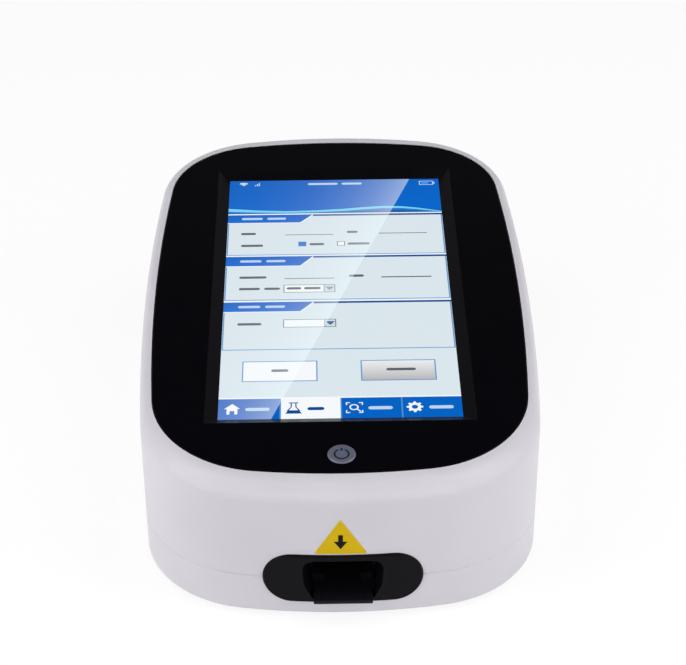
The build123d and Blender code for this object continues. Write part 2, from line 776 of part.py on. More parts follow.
# ---- Sample tray and its rack --------------------------------------------------------
arm_width = (tray_width - channel_width) / 2
tall_arm_front = tray_front + lip_thickness + low_arm_length
tall_arm_length = tray_rear - tall_arm_front
with BuildPart() as sample_tray:
    with BuildSketch(Plane((0, (tray_front + tray_rear) / 2, tray_z))):
        Rectangle(tray_width, tray_length)
    extrude(amount=lip_height)
    with BuildSketch(Plane((0, tall_arm_front + tall_arm_length / 2, tray_z))):
        Rectangle(tray_width, tall_arm_length)
    extrude(amount=arm_height)
    with BuildSketch(Plane((0, tray_front + lip_thickness + channel_length / 2, channel_z))):
        Rectangle(channel_width, channel_length)
    extrude(amount=arm_height, mode=Mode.SUBTRACT)
    long_edges = sample_tray.edges().filter_by(Axis.Y)
    chamfer(
        long_edges.filter_by_position(Axis.Z, tray_z + lip_height, tray_z + lip_height)
        + long_edges.filter_by_position(Axis.Z, arm_z, arm_z)
        + sample_tray.faces().sort_by(Axis.Y)[0].edges().sort_by(Axis.Z)[-1:],
        tray_edge,
    )
    with BuildSketch(Plane((0, tall_arm_front + hook_size / 2, channel_z))):
        with GridLocations(channel_width - hook_size, 0, 2, 1):
            Rectangle(hook_size, hook_size)
    extrude(amount=arm_height - tray_floor)
    with BuildSketch(Plane((tray_width / 2, rack_front + rack_length / 2, channel_z))):
        Rectangle(2 * arm_width, rack_length)
    extrude(amount=arm_height, mode=Mode.SUBTRACT)
    with BuildSketch(Plane((0, tray_front + lip_thickness + arrow_back, channel_z))):
        with BuildLine():
            Polyline(
                (-arrow_width / 2, -arrow_length / 2), (arrow_width / 2, -arrow_length / 2),
                (0, arrow_length / 2), close=True,
            )
        make_face()
    extrude(amount=-arrow_depth, mode=Mode.SUBTRACT)
    with BuildSketch(Plane((0, tray_rear + flag_length / 2, channel_z + flag_lift))):
        Rectangle(flag_thickness, flag_length)
    extrude(amount=arm_height - tray_floor - flag_lift)
    fillet(
        sample_tray.faces().sort_by(Axis.Y)[0].edges().filter_by(Axis.Z), tray_floor / 2
    )

rack_tooth_height = gear_addendum + gear_dedendum
rack_back = tray_width / 2 - rack_tooth_height
pressure = radians(pressure_angle)
half_tooth = tooth_pitch / 4 - backlash / 2
tip_half = half_tooth - gear_addendum * tan(pressure)
root_half = half_tooth + gear_dedendum * tan(pressure)
with BuildPart() as tray_rack:
    with BuildSketch(Plane((0, rack_front + rack_length / 2, channel_z))):
        with Locations(((channel_width / 2 + rack_back) / 2, 0)):
            Rectangle(rack_back - channel_width / 2, rack_length)
        with Locations((rack_back, 0)):
            with GridLocations(0, tooth_pitch, 1, rack_teeth):
                Polygon(
                    (0, -root_half), (rack_tooth_height, -tip_half),
                    (rack_tooth_height, tip_half), (0, root_half), align=None,
                )
    extrude(amount=arm_height - tray_floor)

# ---- Pinion and motor shaft ----------------------------------------------------------
base_radius = pitch_radius * cos(pressure)
pinion_tip = pitch_radius + gear_addendum
pinion_root = pitch_radius - gear_dedendum
pinion_z = channel_z + pinion_lift


def involute(angle):
    return tan(angle) - angle


def flank_angle(radius):
    """Half the angle that a pinion tooth takes up at a radius."""
    at_pitch = half_tooth / pitch_radius + involute(pressure)
    return at_pitch - involute(acos(min(1, base_radius / radius)))


flank_radii = [
    base_radius + (pinion_tip - base_radius) * step / flank_chords
    for step in range(flank_chords + 1)
]
upper_flank = [
    (radius * cos(flank_angle(radius)), radius * sin(flank_angle(radius)))
    for radius in flank_radii
]
tooth_root = (0, pinion_root * sin(flank_angle(base_radius)))
half_outline = [tooth_root, *upper_flank]
tooth_outline = half_outline + [(x, -y) for x, y in reversed(half_outline)]
with BuildPart() as drive_pinion:
    with BuildSketch(Plane((drive_x, drive_y, pinion_z), x_dir=(-1, 0, 0))):
        Circle(pinion_root)
        with PolarLocations(0, pinion_teeth):
            Polygon(*tooth_outline, align=None)
        Circle(shaft_radius + thread_gap, mode=Mode.SUBTRACT)
    extrude(amount=pinion_width)

motor_z = rail_z + motor_plate
with BuildPart(Plane((drive_x, drive_y, pinion_z - shaft_tail))) as motor_shaft:
    Cylinder(
        shaft_radius, motor_z + motor_bore_depth - running_gap - pinion_z + shaft_tail,
        align=(Align.CENTER, Align.CENTER, Align.MIN),
    )

# ---- Motor and its bracket -----------------------------------------------------------
with BuildPart(Plane((drive_x, drive_y, motor_z))) as drive_motor:
    Cylinder(motor_radius, motor_height, align=(Align.CENTER, Align.CENTER, Align.MIN))
    fillet(drive_motor.faces().sort_by(Axis.Z)[-1].edges(), motor_ear_thickness)
    with BuildSketch(Plane((drive_x, drive_y, motor_z))):
        SlotOverall(2 * (motor_ear_span + motor_ear_radius), 2 * motor_ear_radius, rotation=90)
        with GridLocations(0, 2 * motor_ear_span, 1, 2):
            Circle(m2_radius + thread_gap, mode=Mode.SUBTRACT)
    extrude(amount=motor_ear_thickness)
    Cylinder(motor_pilot_radius, motor_plate, align=(Align.CENTER, Align.CENTER, Align.MAX))
    Cylinder(
        shaft_radius + running_gap, 2 * motor_bore_depth, mode=Mode.SUBTRACT,
    )

leg_x = drive_x + motor_radius + motor_leg_room
with BuildPart() as motor_bracket:
    with BuildSketch(facing_front(drive_y, 0)):
        with BuildLine():
            Polyline(
                (guide_inner, rail_z), (leg_x, rail_z), (leg_x, guide_z),
                (leg_x + motor_foot, guide_z), (leg_x + motor_foot, guide_z + motor_plate),
                (leg_x + motor_plate, guide_z + motor_plate), (leg_x + motor_plate, motor_z),
                (guide_inner, motor_z), close=True,
            )
        make_face()
    extrude(amount=motor_ear_span + motor_ear_radius + motor_bracket_edge, both=True)
    with BuildSketch(Plane((drive_x, drive_y, rail_z))):
        Circle(motor_pilot_radius + part_gap)
        with GridLocations(0, 2 * motor_ear_span, 1, 2):
            Circle(m2_radius + thread_gap)
    extrude(amount=motor_plate, mode=Mode.SUBTRACT)
    with BuildSketch(Plane((leg_x + (motor_plate + motor_foot) / 2, drive_y, guide_z))):
        with GridLocations(0, motor_foot_span, 1, 2):
            Circle(m2_radius + thread_gap)
    extrude(amount=motor_plate, mode=Mode.SUBTRACT)

with BuildPart(
    Plane((drive_x, drive_y, motor_z + motor_ear_thickness))
) as motor_screws:
    with GridLocations(0, 2 * motor_ear_span, 1, 2):
        screw(m2_head_radius, m2_head_height, m2_radius, motor_ear_thickness + motor_plate)

foot_screw_x = leg_x + (motor_plate + motor_foot) / 2
with BuildPart(Plane((foot_screw_x, drive_y, guide_z + motor_plate))) as bracket_screws:
    with GridLocations(0, motor_foot_span, 1, 2):
        screw(m2_head_radius, m2_head_height, m2_radius, motor_plate + guide_plate)

# ---- Tray guide: plate with two rails that hold the tray's arms ----------------------
leg_inner = guide_inner + guide_wall + optics_leg_gap
foot_mid = leg_inner + (optics_leg + optics_foot) / 2
with BuildPart() as tray_guide:
    with BuildSketch(Plane((0, guide_mid, guide_base_z))):
        Rectangle(guide_width, guide_length)
        with GridLocations(
            guide_width - 2 * guide_screw_inset, guide_length - 2 * guide_screw_inset, 2, 2
        ):
            Circle(m2_radius + thread_gap, mode=Mode.SUBTRACT)
    extrude(amount=guide_plate)
    with BuildSketch(Plane((0, (guide_front + tray_rear) / 2, guide_z))):
        Rectangle(2 * (guide_inner + guide_wall), tray_rear - guide_front)
    extrude(amount=rail_z - guide_z)
    with BuildSketch(Plane((0, guide_mid, guide_z))):
        Rectangle(2 * guide_inner, guide_length)
    extrude(amount=arm_z + guide_lip_gap - guide_z, mode=Mode.SUBTRACT)
    with BuildSketch(Plane((0, guide_mid, guide_z))):
        Rectangle(2 * (guide_inner - guide_lip), guide_length)
    extrude(amount=rail_z - guide_z, mode=Mode.SUBTRACT)
    with BuildSketch(Plane((drive_x, drive_y, guide_z))):
        Circle(pinion_tip + pinion_relief)
    extrude(amount=rail_z - guide_z, mode=Mode.SUBTRACT)
    with BuildSketch(Plane((foot_screw_x, drive_y, guide_base_z))):
        with GridLocations(0, motor_foot_span, 1, 2):
            Circle(m2_radius + thread_gap)
    extrude(amount=guide_plate, mode=Mode.SUBTRACT)
    with BuildSketch(Plane((0, optics_y, guide_base_z))):
        with GridLocations(2 * foot_mid, optics_depth / 2, 2, 2):
            Circle(m2_radius + thread_gap)
    extrude(amount=guide_plate, mode=Mode.SUBTRACT)

with BuildPart(Plane((0, guide_mid, guide_z))) as guide_screws:
    with GridLocations(
        guide_width - 2 * guide_screw_inset, guide_length - 2 * guide_screw_inset, 2, 2
    ):
        screw(m2_head_radius, m2_head_height, m2_radius, guide_screw_length)

# ---- Optics over the tray ------------------------------------------------------------
optics_top = optics_z + optics_height
lens_z = optics_z + lens_lift
optical_axis = Plane((0, optics_y, optics_z))
lamp_plane = Plane(
    origin=(0, optics_y, channel_z), x_dir=(1, 0, 0),
    z_dir=(0, sin(radians(lamp_angle)), cos(radians(lamp_angle))),
).offset(lamp_reach)
with BuildPart() as optics_housing:
    with BuildSketch(optical_axis):
        Rectangle(2 * (leg_inner + optics_leg), optics_depth)
    extrude(amount=optics_leg)
    with BuildSketch(optical_axis):
        Rectangle(optics_width, optics_depth)
    extrude(amount=optics_height)
    with BuildSketch(Plane((0, optics_y, guide_z))):
        with GridLocations(2 * leg_inner + optics_leg, 0, 2, 1):
            Rectangle(optics_leg, optics_depth)
    extrude(amount=optics_z - guide_z)
    with BuildSketch(Plane((0, optics_y, guide_z))):
        with GridLocations(2 * foot_mid, 0, 2, 1):
            Rectangle(optics_leg + optics_foot, optics_depth)
        with GridLocations(2 * foot_mid, optics_depth / 2, 2, 2):
            Circle(m2_radius + thread_gap, mode=Mode.SUBTRACT)
    extrude(amount=guide_plate)
    with BuildSketch(Plane((0, optics_y, lens_z))):
        Circle(lens_radius + running_gap)
    extrude(amount=optics_height, mode=Mode.SUBTRACT)
    with BuildSketch(optical_axis):
        Circle(lens_radius - lens_seat)
    extrude(amount=lens_lift, mode=Mode.SUBTRACT)
    with BuildSketch(lamp_plane):
        Circle(lamp_radius + running_gap)
    extrude(amount=2 * optics_height, both=True, mode=Mode.SUBTRACT)

with BuildPart(Plane((0, optics_y, guide_z + guide_plate))) as optics_screws:
    with GridLocations(2 * foot_mid, optics_depth / 2, 2, 2):
        screw(m2_head_radius, m2_head_height, m2_radius, 2 * guide_plate)

lens_curve = -(lens_radius**2 + lens_crown**2) / (2 * lens_crown)
with BuildPart() as objective_lens:
    with BuildSketch(Plane(origin=(0, optics_y, lens_z), x_dir=(1, 0, 0), z_dir=(0, -1, 0))):
        with BuildLine():
            Line((0, 0), (lens_radius, 0))
            Line((lens_radius, 0), (lens_radius, lens_thickness))
            RadiusArc((lens_radius, lens_thickness), (0, lens_thickness + lens_crown), lens_curve)
            Line((0, lens_thickness + lens_crown), (0, 0))
        make_face()
    revolve(axis=Axis((0, optics_y, lens_z), (0, 0, 1)))

with BuildPart() as excitation_lamp:
    with BuildSketch(lamp_plane):
        Circle(lamp_radius)
    extrude(amount=lamp_length)
    fillet(excitation_lamp.faces().sort_by(Axis.Z)[0].edges(), lamp_radius / 2)

with BuildPart(Plane((0, optics_y, optics_top))) as sensor_board:
    block(optics_width, optics_depth, board_thickness)

with BuildPart(Plane((0, optics_y, optics_top))) as light_sensor:
    block(sensor_die, sensor_die, sensor_die_height, upward=False)

with BuildPart(Plane((0, optics_y, optics_top + board_thickness))) as optics_cover:
    block(optics_width, optics_depth, cover_height)
    with BuildSketch(Plane((0, optics_y, optics_top + board_thickness))):
        Rectangle(optics_width - 2 * cover_wall, optics_depth - 2 * cover_wall)
    extrude(amount=cover_height - cover_wall, mode=Mode.SUBTRACT)

# ---- Home sensor: fork that the tray's flag enters -----------------------------------
fork_y = tray_rear + flag_length / 2
with BuildPart() as home_sensor:
    with BuildSketch(Plane((0, fork_y, guide_z))):
        Rectangle(fork_width, fork_depth)
    extrude(amount=fork_height)
    with BuildSketch(Plane((0, fork_y, guide_z + fork_height - fork_slot_depth))):
        Rectangle(fork_slot, fork_depth)
    extrude(amount=fork_slot_depth, mode=Mode.SUBTRACT)

# ---- Main board and what stands on it ------------------------------------------------
with BuildPart() as main_board:
    with BuildSketch(Plane((0, board_mid, board_z))):
        Rectangle(board_width, board_length)
        with GridLocations(
            board_width - 2 * board_hole_inset, board_length - 2 * board_hole_inset, 2, 2
        ):
            Circle(m2_radius + thread_gap, mode=Mode.SUBTRACT)
    extrude(amount=board_thickness)

with BuildPart(Plane((0, board_mid, board_top))) as board_screws:
    with GridLocations(
        board_width - 2 * board_hole_inset, board_length - 2 * board_hole_inset, 2, 2
    ):
        screw(m2_head_radius, m2_head_height, m2_radius, board_screw_length)

connector_y = board_front + connector_inset
chip_y = connector_y + connector_depth / 2 + sink_room + heat_sink_size / 2
with BuildPart(Plane((0, chip_y, board_top))) as processor:
    block(chip_size, chip_size, chip_height)

sink_z = board_top + chip_height
fin_pitch = (heat_sink_size - fin_thickness) / (heat_sink_fins - 1)
with BuildPart(Plane((0, chip_y, sink_z))) as heat_sink:
    block(heat_sink_size, heat_sink_size, heat_sink_base)
    with GridLocations(fin_pitch, 0, heat_sink_fins, 1):
        block(fin_thickness, heat_sink_size, heat_sink_height)

with BuildPart(Plane((buzzer_offset_x, board_mid, board_top))) as buzzer:
    Cylinder(buzzer_radius, buzzer_height, align=(Align.CENTER, Align.CENTER, Align.MIN))
    fillet(buzzer.faces().sort_by(Axis.Z)[-1].edges(), buzzer_bore / 2)
    with Locations((0, 0, buzzer_height)):
        Cylinder(buzzer_bore, buzzer_height, mode=Mode.SUBTRACT)

# ---- Flat cable from the display's back down to its connector on the board -----------
connector_z = board_top + connector_height
flex_depth = lcd_depth + flex_thickness / 2
flex_up = (connector_y - case_y - flex_depth * sin(tilt)) / cos(tilt)
flex_bend = on_panel(flex_up, flex_depth).origin
flex_end = on_panel(flex_up - flex_tail, flex_depth).origin
with BuildPart(Plane((0, connector_y, board_top))) as display_connector:
    block(connector_length, connector_depth, connector_height)

with BuildPart() as display_cable:
    with BuildSketch(facing_right(0)):
        with BuildLine():
            FilletPolyline(
                (flex_end.Y, flex_end.Z), (flex_bend.Y, flex_bend.Z), (connector_y, connector_z),
                radius=flex_corner,
            )
        trace(line_width=flex_thickness)
    extrude(amount=flex_width / 2, both=True)

# ---- Rear sockets --------------------------------------------------------------------
for place, socket_x in {"left": usb_x - usb_pitch, "right": usb_x}.items():
    with BuildPart() as usb_socket:
        with BuildSketch(Plane.XZ.offset(-socket_face)):
            with Locations((socket_x, usb_z)):
                Rectangle(usb_width, usb_height)
        extrude(amount=socket_length)
        with BuildSketch(Plane.XZ.offset(-socket_face)):
            with Locations((socket_x, usb_z)):
                Rectangle(usb_width - 2 * usb_wall, usb_height - 2 * usb_wall)
                with Locations((0, usb_tongue_side)):
                    Rectangle(
                        usb_width - 2 * (usb_wall + usb_tongue_room), usb_tongue,
                        mode=Mode.SUBTRACT,
                    )
        extrude(amount=usb_depth, mode=Mode.SUBTRACT)
    usb_socket.part.label = f"usb_socket_{place}"
    export_step(usb_socket.part, f"parts/usb_socket_{place}.step")

with BuildPart() as dc_inlet:
    with BuildSketch(Plane.XZ.offset(-socket_face)):
        with Locations((inlet_x, inlet_z)):
            Rectangle(inlet_width, inlet_width)
    extrude(amount=socket_length)
    with BuildSketch(Plane.XZ.offset(-socket_face)):
        with Locations((inlet_x, inlet_z)):
            Circle(inlet_bore_radius)
            Circle(inlet_pin_radius, mode=Mode.SUBTRACT)
    extrude(amount=inlet_depth, mode=Mode.SUBTRACT)

pieces = {
    "lower_shell": lower_shell,
    "upper_shell": upper_shell,
    "case_screws": case_screws,
    "display_bezel": display_bezel,
    "touch_glass": touch_glass,
    "lcd_module": lcd_module,
    "lcd_straps": lcd_straps,
    "lcd_screws": lcd_screws,
    "power_button": power_button,
    "switch_plunger": switch_plunger,
    "button_switch": button_switch,
    "button_board": button_board,
    "button_board_screws": board_pins,
    "tray_trim": tray_trim,
    "marker_label": marker_label,
    "sample_tray": sample_tray,
    "tray_rack": tray_rack,
    "drive_pinion": drive_pinion,
    "motor_shaft": motor_shaft,
    "drive_motor": drive_motor,
    "motor_bracket": motor_bracket,
    "motor_screws": motor_screws,
    "bracket_screws": bracket_screws,
    "tray_guide": tray_guide,
    "guide_screws": guide_screws,
    "optics_housing": optics_housing,
    "optics_screws": optics_screws,
    "objective_lens": objective_lens,
    "excitation_lamp": excitation_lamp,
    "sensor_board": sensor_board,
    "light_sensor": light_sensor,
    "optics_cover": optics_cover,
    "home_sensor": home_sensor,
    "main_board": main_board,
    "board_screws": board_screws,
    "processor": processor,
    "heat_sink": heat_sink,
    "buzzer": buzzer,
    "display_connector": display_connector,
    "display_cable": display_cable,
    "dc_inlet": dc_inlet,
}
for name, piece in pieces.items():
    piece.part.label = name
    export_step(piece.part, f"parts/{name}.step")
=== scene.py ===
"""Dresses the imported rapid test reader: finishes for every part, the page on the display, the
signs on the button and the marker, screws and board parts, and the studio round it.

Metres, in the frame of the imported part: +Z up, the tray comes out towards -Y.
"""

from math import cos, exp, pi, radians, sin, sqrt, tau

import bmesh
import bpy
from bpy.props import FloatProperty, FloatVectorProperty, IntProperty, PointerProperty
from mathutils import Euler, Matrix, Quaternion, Vector


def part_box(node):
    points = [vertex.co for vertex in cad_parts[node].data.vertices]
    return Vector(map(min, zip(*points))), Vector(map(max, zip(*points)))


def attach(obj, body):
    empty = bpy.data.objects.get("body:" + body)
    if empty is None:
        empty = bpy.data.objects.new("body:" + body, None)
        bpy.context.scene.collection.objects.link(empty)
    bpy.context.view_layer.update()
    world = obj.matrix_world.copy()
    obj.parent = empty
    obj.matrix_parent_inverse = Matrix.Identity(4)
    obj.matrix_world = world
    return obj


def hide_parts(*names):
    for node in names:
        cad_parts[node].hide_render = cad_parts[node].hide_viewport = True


bl_info = {
    "name": "Rapid test reader",
    "version": (1, 0, 0),
    "blender": (4, 5, 0),
    "location": "3D View > Sidebar > Reader",
    "description": "Finishes, display page and studio for the rapid test reader",
    "category": "Object",
}

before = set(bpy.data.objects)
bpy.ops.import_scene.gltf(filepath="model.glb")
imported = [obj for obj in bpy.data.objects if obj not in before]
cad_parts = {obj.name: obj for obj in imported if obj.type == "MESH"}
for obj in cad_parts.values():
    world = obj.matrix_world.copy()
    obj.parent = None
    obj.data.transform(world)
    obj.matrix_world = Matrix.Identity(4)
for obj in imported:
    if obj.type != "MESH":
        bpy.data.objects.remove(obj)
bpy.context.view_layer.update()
CASE = "reader_case"
MM = 0.001


def paint(red, green, blue):
    """Linear colour from the 0 to 255 values of a paint chart."""
    def linear(value):
        share = value / 255
        return share / 12.92 if share <= 0.04045 else ((share + 0.055) / 1.055) ** 2.4

    return (linear(red), linear(green), linear(blue))


def colour(name, description, default):
    return FloatVectorProperty(
        name=name, description=description, default=default, subtype="COLOR", size=3,
        min=0.0, max=1.0,
    )


def length(name, description, default):
    return FloatProperty(name=name, description=description, default=default, unit="LENGTH")


# ---- Sizes and colours that a user may change ----


class CaseLook(bpy.types.PropertyGroup):
    shell: colour("Shells", "Moulded plastic of both case shells", (0.79, 0.762, 0.815))
    panel: colour("Panel", "Black panel round the display", (0.0019, 0.0018, 0.0032))
    trim: colour("Trim", "Rounded trim round the tray's mouth", (0.0055, 0.0053, 0.0075))
    tray: colour("Tray", "Test tray", (0.0075, 0.0072, 0.0110))
    button: colour("Button", "Metal of the power button", (0.20, 0.205, 0.275))
    sign: colour("Sign", "Ink of the power sign", (0.012, 0.012, 0.055))
    lamp: colour("Lamp", "Lit stroke of the power sign", (0.04, 0.15, 0.32))
    marker: colour("Marker", "Yellow film of the marker", (0.80, 0.54, 0.004))
    ink: colour("Ink", "Arrow on the marker", (0.004, 0.004, 0.004))


class PageLook(bpy.types.PropertyGroup):
    width: length("Width", "Lit width of the display", 99.36 * MM)
    height: length("Height", "Lit height of the display", 176.64 * MM)
    depth: length("Depth", "Page below the panel's top face", 2.92 * MM)
    layer: length("Layer", "Step between the page's layers", 0.012 * MM)
    ground: colour("Ground", "Page's background", paint(219, 230, 236))
    white: colour("White", "Boxes and lines", paint(246, 248, 250))
    blue: colour("Blue", "Header and lower bar", paint(4, 98, 194))
    tab: colour("Tab", "Tabs of the sections", paint(42, 120, 206))
    navy: colour("Navy", "Rules and dark signs", paint(4, 74, 150))
    sky: colour("Sky", "Thin frames", paint(84, 144, 204))
    crest: colour("Crest", "Wave under the header", paint(112, 206, 246))
    ink: colour("Ink", "Bars that stand for words", paint(92, 96, 102))
    pale: colour("Pale", "Bars that stand for pale words", paint(190, 212, 240))


class StageLook(bpy.types.PropertyGroup):
    lens: FloatProperty(name="Lens", description="Focal length in mm", default=99.71)
    place: FloatVectorProperty(
        name="Camera", description="Place of the camera", subtype="TRANSLATION",
        default=(-0.0082, -0.7104, 0.50647), size=3,
    )
    view: FloatVectorProperty(
        name="View", description="Direction that the camera looks in",
        default=(0.01257, 0.8433, -0.5373), size=3,
    )
    roll: FloatProperty(
        name="Roll", description="Turn of the camera about its view", default=-0.0053,
        subtype="ANGLE",
    )
    floor: length("Floor", "Half the floor's width", 12.0)
    seed: IntProperty(name="Seed", description="Seed for the screws' turns", default=7)


# ---- Shader sums ----


class Wire:
    """A value in a node tree. Sums of wires and numbers add Math nodes."""

    def __init__(self, wiring, socket):
        self.wiring, self.socket = wiring, socket

    def math(self, operation, *values):
        inputs = dict(enumerate((self, *values)))
        return self.wiring.node("ShaderNodeMath", {"operation": operation}, inputs)

    def __add__(self, other):
        return self.math("ADD", other)

    __radd__ = __add__

    def __mul__(self, other):
        return self.math("MULTIPLY", other)

    __rmul__ = __mul__

    def __sub__(self, other):
        return self.math("SUBTRACT", other)

    def __rsub__(self, other):
        return self.math("MULTIPLY_ADD", -1.0, other)

    def ramp(self, low, high, start=0.0, end=1.0):
        """Smooth climb from start to end while the value goes from low to high."""
        return self.wiring.node(
            "ShaderNodeMapRange", {"interpolation_type": "SMOOTHSTEP"},
            {0: self, 1: low, 2: high, 3: start, 4: end},
        )


class Wiring:
    """A node tree under way. Its sockets take numbers or wires."""

    def __init__(self, tree):
        self.tree = tree

    def plug(self, socket, value):
        if isinstance(value, Wire):
            self.tree.links.new(value.socket, socket)
        elif socket.type == "RGBA" and len(value) == 3:
            socket.default_value = (*value, 1.0)
        else:
            socket.default_value = value

    def node(self, kind, settings=None, inputs=None, output=0):
        """Any node: its settings first, then the values or wires of its sockets."""
        made = self.tree.nodes.new(kind)
        for name, value in (settings or {}).items():
            setattr(made, name, value)
        for name, value in (inputs or {}).items():
            self.plug(made.inputs[name], value)
        return Wire(self, made.outputs[output])

    def axis(self, where, name):
        return self.node("ShaderNodeSeparateXYZ", {}, {0: where}, output=name)


class Finish(Wiring):
    """A material under way: a Principled shader, its plain values set by name."""

    def __init__(self, name, **constants):
        self.material = bpy.data.materials.new(name)
        self.material.use_nodes = True
        super().__init__(self.material.node_tree)
        self.tree.nodes.clear()
        self.shader = self.tree.nodes.new("ShaderNodeBsdfPrincipled")
        self.surface = self.tree.nodes.new("ShaderNodeOutputMaterial").inputs["Surface"]
        self.tree.links.new(self.shader.outputs[0], self.surface)
        for words, value in constants.items():
            socket = words.replace("_", " ").title().replace("Ior", "IOR")
            self.plug(self.shader.inputs[socket], value)

    def feed(self, **inputs):
        for words, value in inputs.items():
            self.plug(self.shader.inputs[words.replace("_", " ").title()], value)
        return self.material

    def place(self, scale=(1.0, 1.0, 1.0), turn=(0.0, 0.0, 0.0)):
        """Object coordinates, turned and stretched."""
        here = self.node("ShaderNodeTexCoord", output="Object")
        return self.node(
            "ShaderNodeMapping", {},
            {"Vector": here, "Rotation": turn, "Scale": scale},
        )

    def noise(self, where, scale, detail=2.0):
        return self.node(
            "ShaderNodeTexNoise", {}, {"Vector": where, "Scale": scale, "Detail": detail}
        )

    def blend(self, factor, low, high):
        """Colour between low and high."""
        return self.node(
            "ShaderNodeMix", {"data_type": "RGBA"}, {0: factor, 6: low, 7: high}, output=2
        )

    def relief(self, height, distance):
        """Normal from a height, in metres at a height of 1."""
        return self.node("ShaderNodeBump", {}, {"Height": height, "Distance": distance})


def scaled(shade, factor):
    return tuple(min(1.0, part * factor) for part in shade)


# ---- Finishes ----


def moulded(name, shade, roughness=0.4, grain=0.02, cell=1600.0, sheen=0.5):
    """Moulded plastic: eroded grain, slight flow marks and a finger-worn gloss."""
    finish = Finish(name, specular_ior_level=sheen)
    here = finish.place()
    fine = finish.noise(here, cell, 3.0)
    flow = finish.noise(here, 16.0)
    wear = finish.noise(here, 70.0, 4.0)
    return finish.feed(
        base_color=finish.blend(flow.ramp(0.3, 0.7), scaled(shade, 0.97), scaled(shade, 1.03)),
        roughness=wear * 0.10 + (roughness - 0.05),
        normal=finish.relief(fine, grain * MM),
    )


def brushed(name, shade, roughness=0.3, across=(40.0, 1800.0, 1800.0)):
    """Metal with fine brush lines along one axis."""
    finish = Finish(name, metallic=1.0)
    lines = finish.noise(finish.place(scale=across), 1.0, 3.0)
    spots = finish.noise(finish.place(), 55.0, 3.0)
    return finish.feed(
        base_color=finish.blend(lines, scaled(shade, 0.8), scaled(shade, 1.1)),
        roughness=spots * 0.12 + lines * 0.12 + (roughness - 0.12),
        normal=finish.relief(lines, 0.01 * MM),
    )


def turned(name, shade, centre, tilt, roughness=0.45):
    """Metal turned on a lathe and bead-blasted: fine rings round an axis."""
    finish = Finish(name, metallic=0.4)
    here = finish.place(turn=(-tilt, 0.0, 0.0))
    turned_centre = Vector(centre)
    turned_centre.rotate(Euler((-tilt, 0.0, 0.0)))
    across = finish.axis(here, "X") - turned_centre.x
    along = finish.axis(here, "Y") - turned_centre.y
    radius = (across * across + along * along).math("SQRT")
    rings = (radius * 26000.0).math("SINE") * 0.5 + 0.5
    grit = finish.noise(here, 900.0, 2.0)
    tone = rings * 0.35 + grit * 0.65
    return finish.feed(
        base_color=finish.blend(tone, scaled(shade, 0.82), scaled(shade, 1.12)),
        roughness=grit * 0.14 + (roughness - 0.07),
        normal=finish.relief(rings, 0.004 * MM),
    )


def clear(name, shade, roughness=0.03, ior=1.45):
    """Glass or clear plastic with the faintest smears."""
    finish = Finish(name, transmission_weight=1.0, ior=ior)
    smears = finish.noise(finish.place(scale=(1.0, 0.4, 1.0)), 45.0, 4.0)
    return finish.feed(
        base_color=finish.blend(smears, shade, scaled(shade, 0.985)),
        roughness=smears.ramp(0.45, 0.75, roughness * 0.5, roughness * 1.8),
    )


def board(name, shade):
    """Circuit board: solder mask with tracks, pads and through holes."""
    finish = Finish(name, specular_ior_level=0.5, coat_weight=0.3, coat_roughness=0.2)
    here = finish.place()
    tracks = finish.node(
        "ShaderNodeTexBrick", {"offset": 0.35, "squash": 1.6, "squash_frequency": 3},
        {"Vector": here, "Scale": 130.0, "Mortar Size": 0.05, "Mortar Smooth": 0.1},
        output="Fac",
    )
    holes = finish.node(
        "ShaderNodeTexVoronoi", {"feature": "F1"}, {"Vector": here, "Scale": 260.0},
        output="Distance",
    )
    pad = holes.ramp(0.10, 0.14, 1.0, 0.0)
    copper = finish.blend(tracks, shade, scaled(shade, 2.2))
    return finish.feed(
        base_color=finish.blend(pad, copper, (0.72, 0.66, 0.45)),
        metallic=pad * 0.9,
        roughness=0.38 - pad * 0.12,
        normal=finish.relief(tracks + pad, 0.03 * MM),
    )


def printed_film(name, shade):
    """Printed film with a fine orange-peel and patchy tone."""
    finish = Finish(name, specular_ior_level=0.12)
    here = finish.place()
    peel = finish.noise(here, 700.0, 2.0)
    patch = finish.noise(here, 90.0, 3.0)
    return finish.feed(
        base_color=finish.blend(patch, scaled(shade, 0.94), scaled(shade, 1.05)),
        roughness=peel * 0.1 + 0.38,
        normal=finish.relief(peel, 0.008 * MM),
    )


def ribbon(name, shade):
    """Flat cable: copper tracks under amber film."""
    finish = Finish(name, specular_ior_level=0.5)
    stripes = (finish.axis(finish.place(), "X") * (tau / (1.0 * MM))).math("SINE")
    track = stripes.ramp(0.0, 0.4)
    return finish.feed(
        base_color=finish.blend(track, shade, scaled(shade, 0.45)),
        roughness=0.42 - track * 0.14,
        normal=finish.relief(track, 0.02 * MM),
    )


def lit(name, strength):
    """The page's own light, from the colours painted on its faces."""
    finish = Finish(
        name, base_color=(0.0, 0.0, 0.0), roughness=0.5, specular_ior_level=0.0,
        emission_strength=strength,
    )
    inks = finish.node("ShaderNodeVertexColor", {"layer_name": "ink"})
    return finish.feed(emission_color=inks)


def painted_glare(name):
    """Painted glare: a pale emissive overlay on the page's left side, fading out away from its
    edge, that stands in for a reflection on the glass.
    """
    finish = Finish(
        name, base_color=(0.0, 0.0, 0.0), specular_ior_level=0.0, emission_strength=1.1,
        emission_color=(0.86, 0.97, 1.0),
    )
    share = finish.node("ShaderNodeVertexColor", {"layer_name": "ink"})
    return finish.feed(alpha=share)


def glow(name, shade, strength):
    """A lamp behind a frosted stroke."""
    finish = Finish(name, roughness=0.4, emission_strength=strength)
    frost = finish.noise(finish.place(), 1500.0, 2.0)
    return finish.feed(
        base_color=finish.blend(frost, scaled(shade, 0.8), shade),
        emission_color=finish.blend(frost, scaled(shade, 0.85), scaled(shade, 1.1)),
    )


# ---- Mesh helpers ----


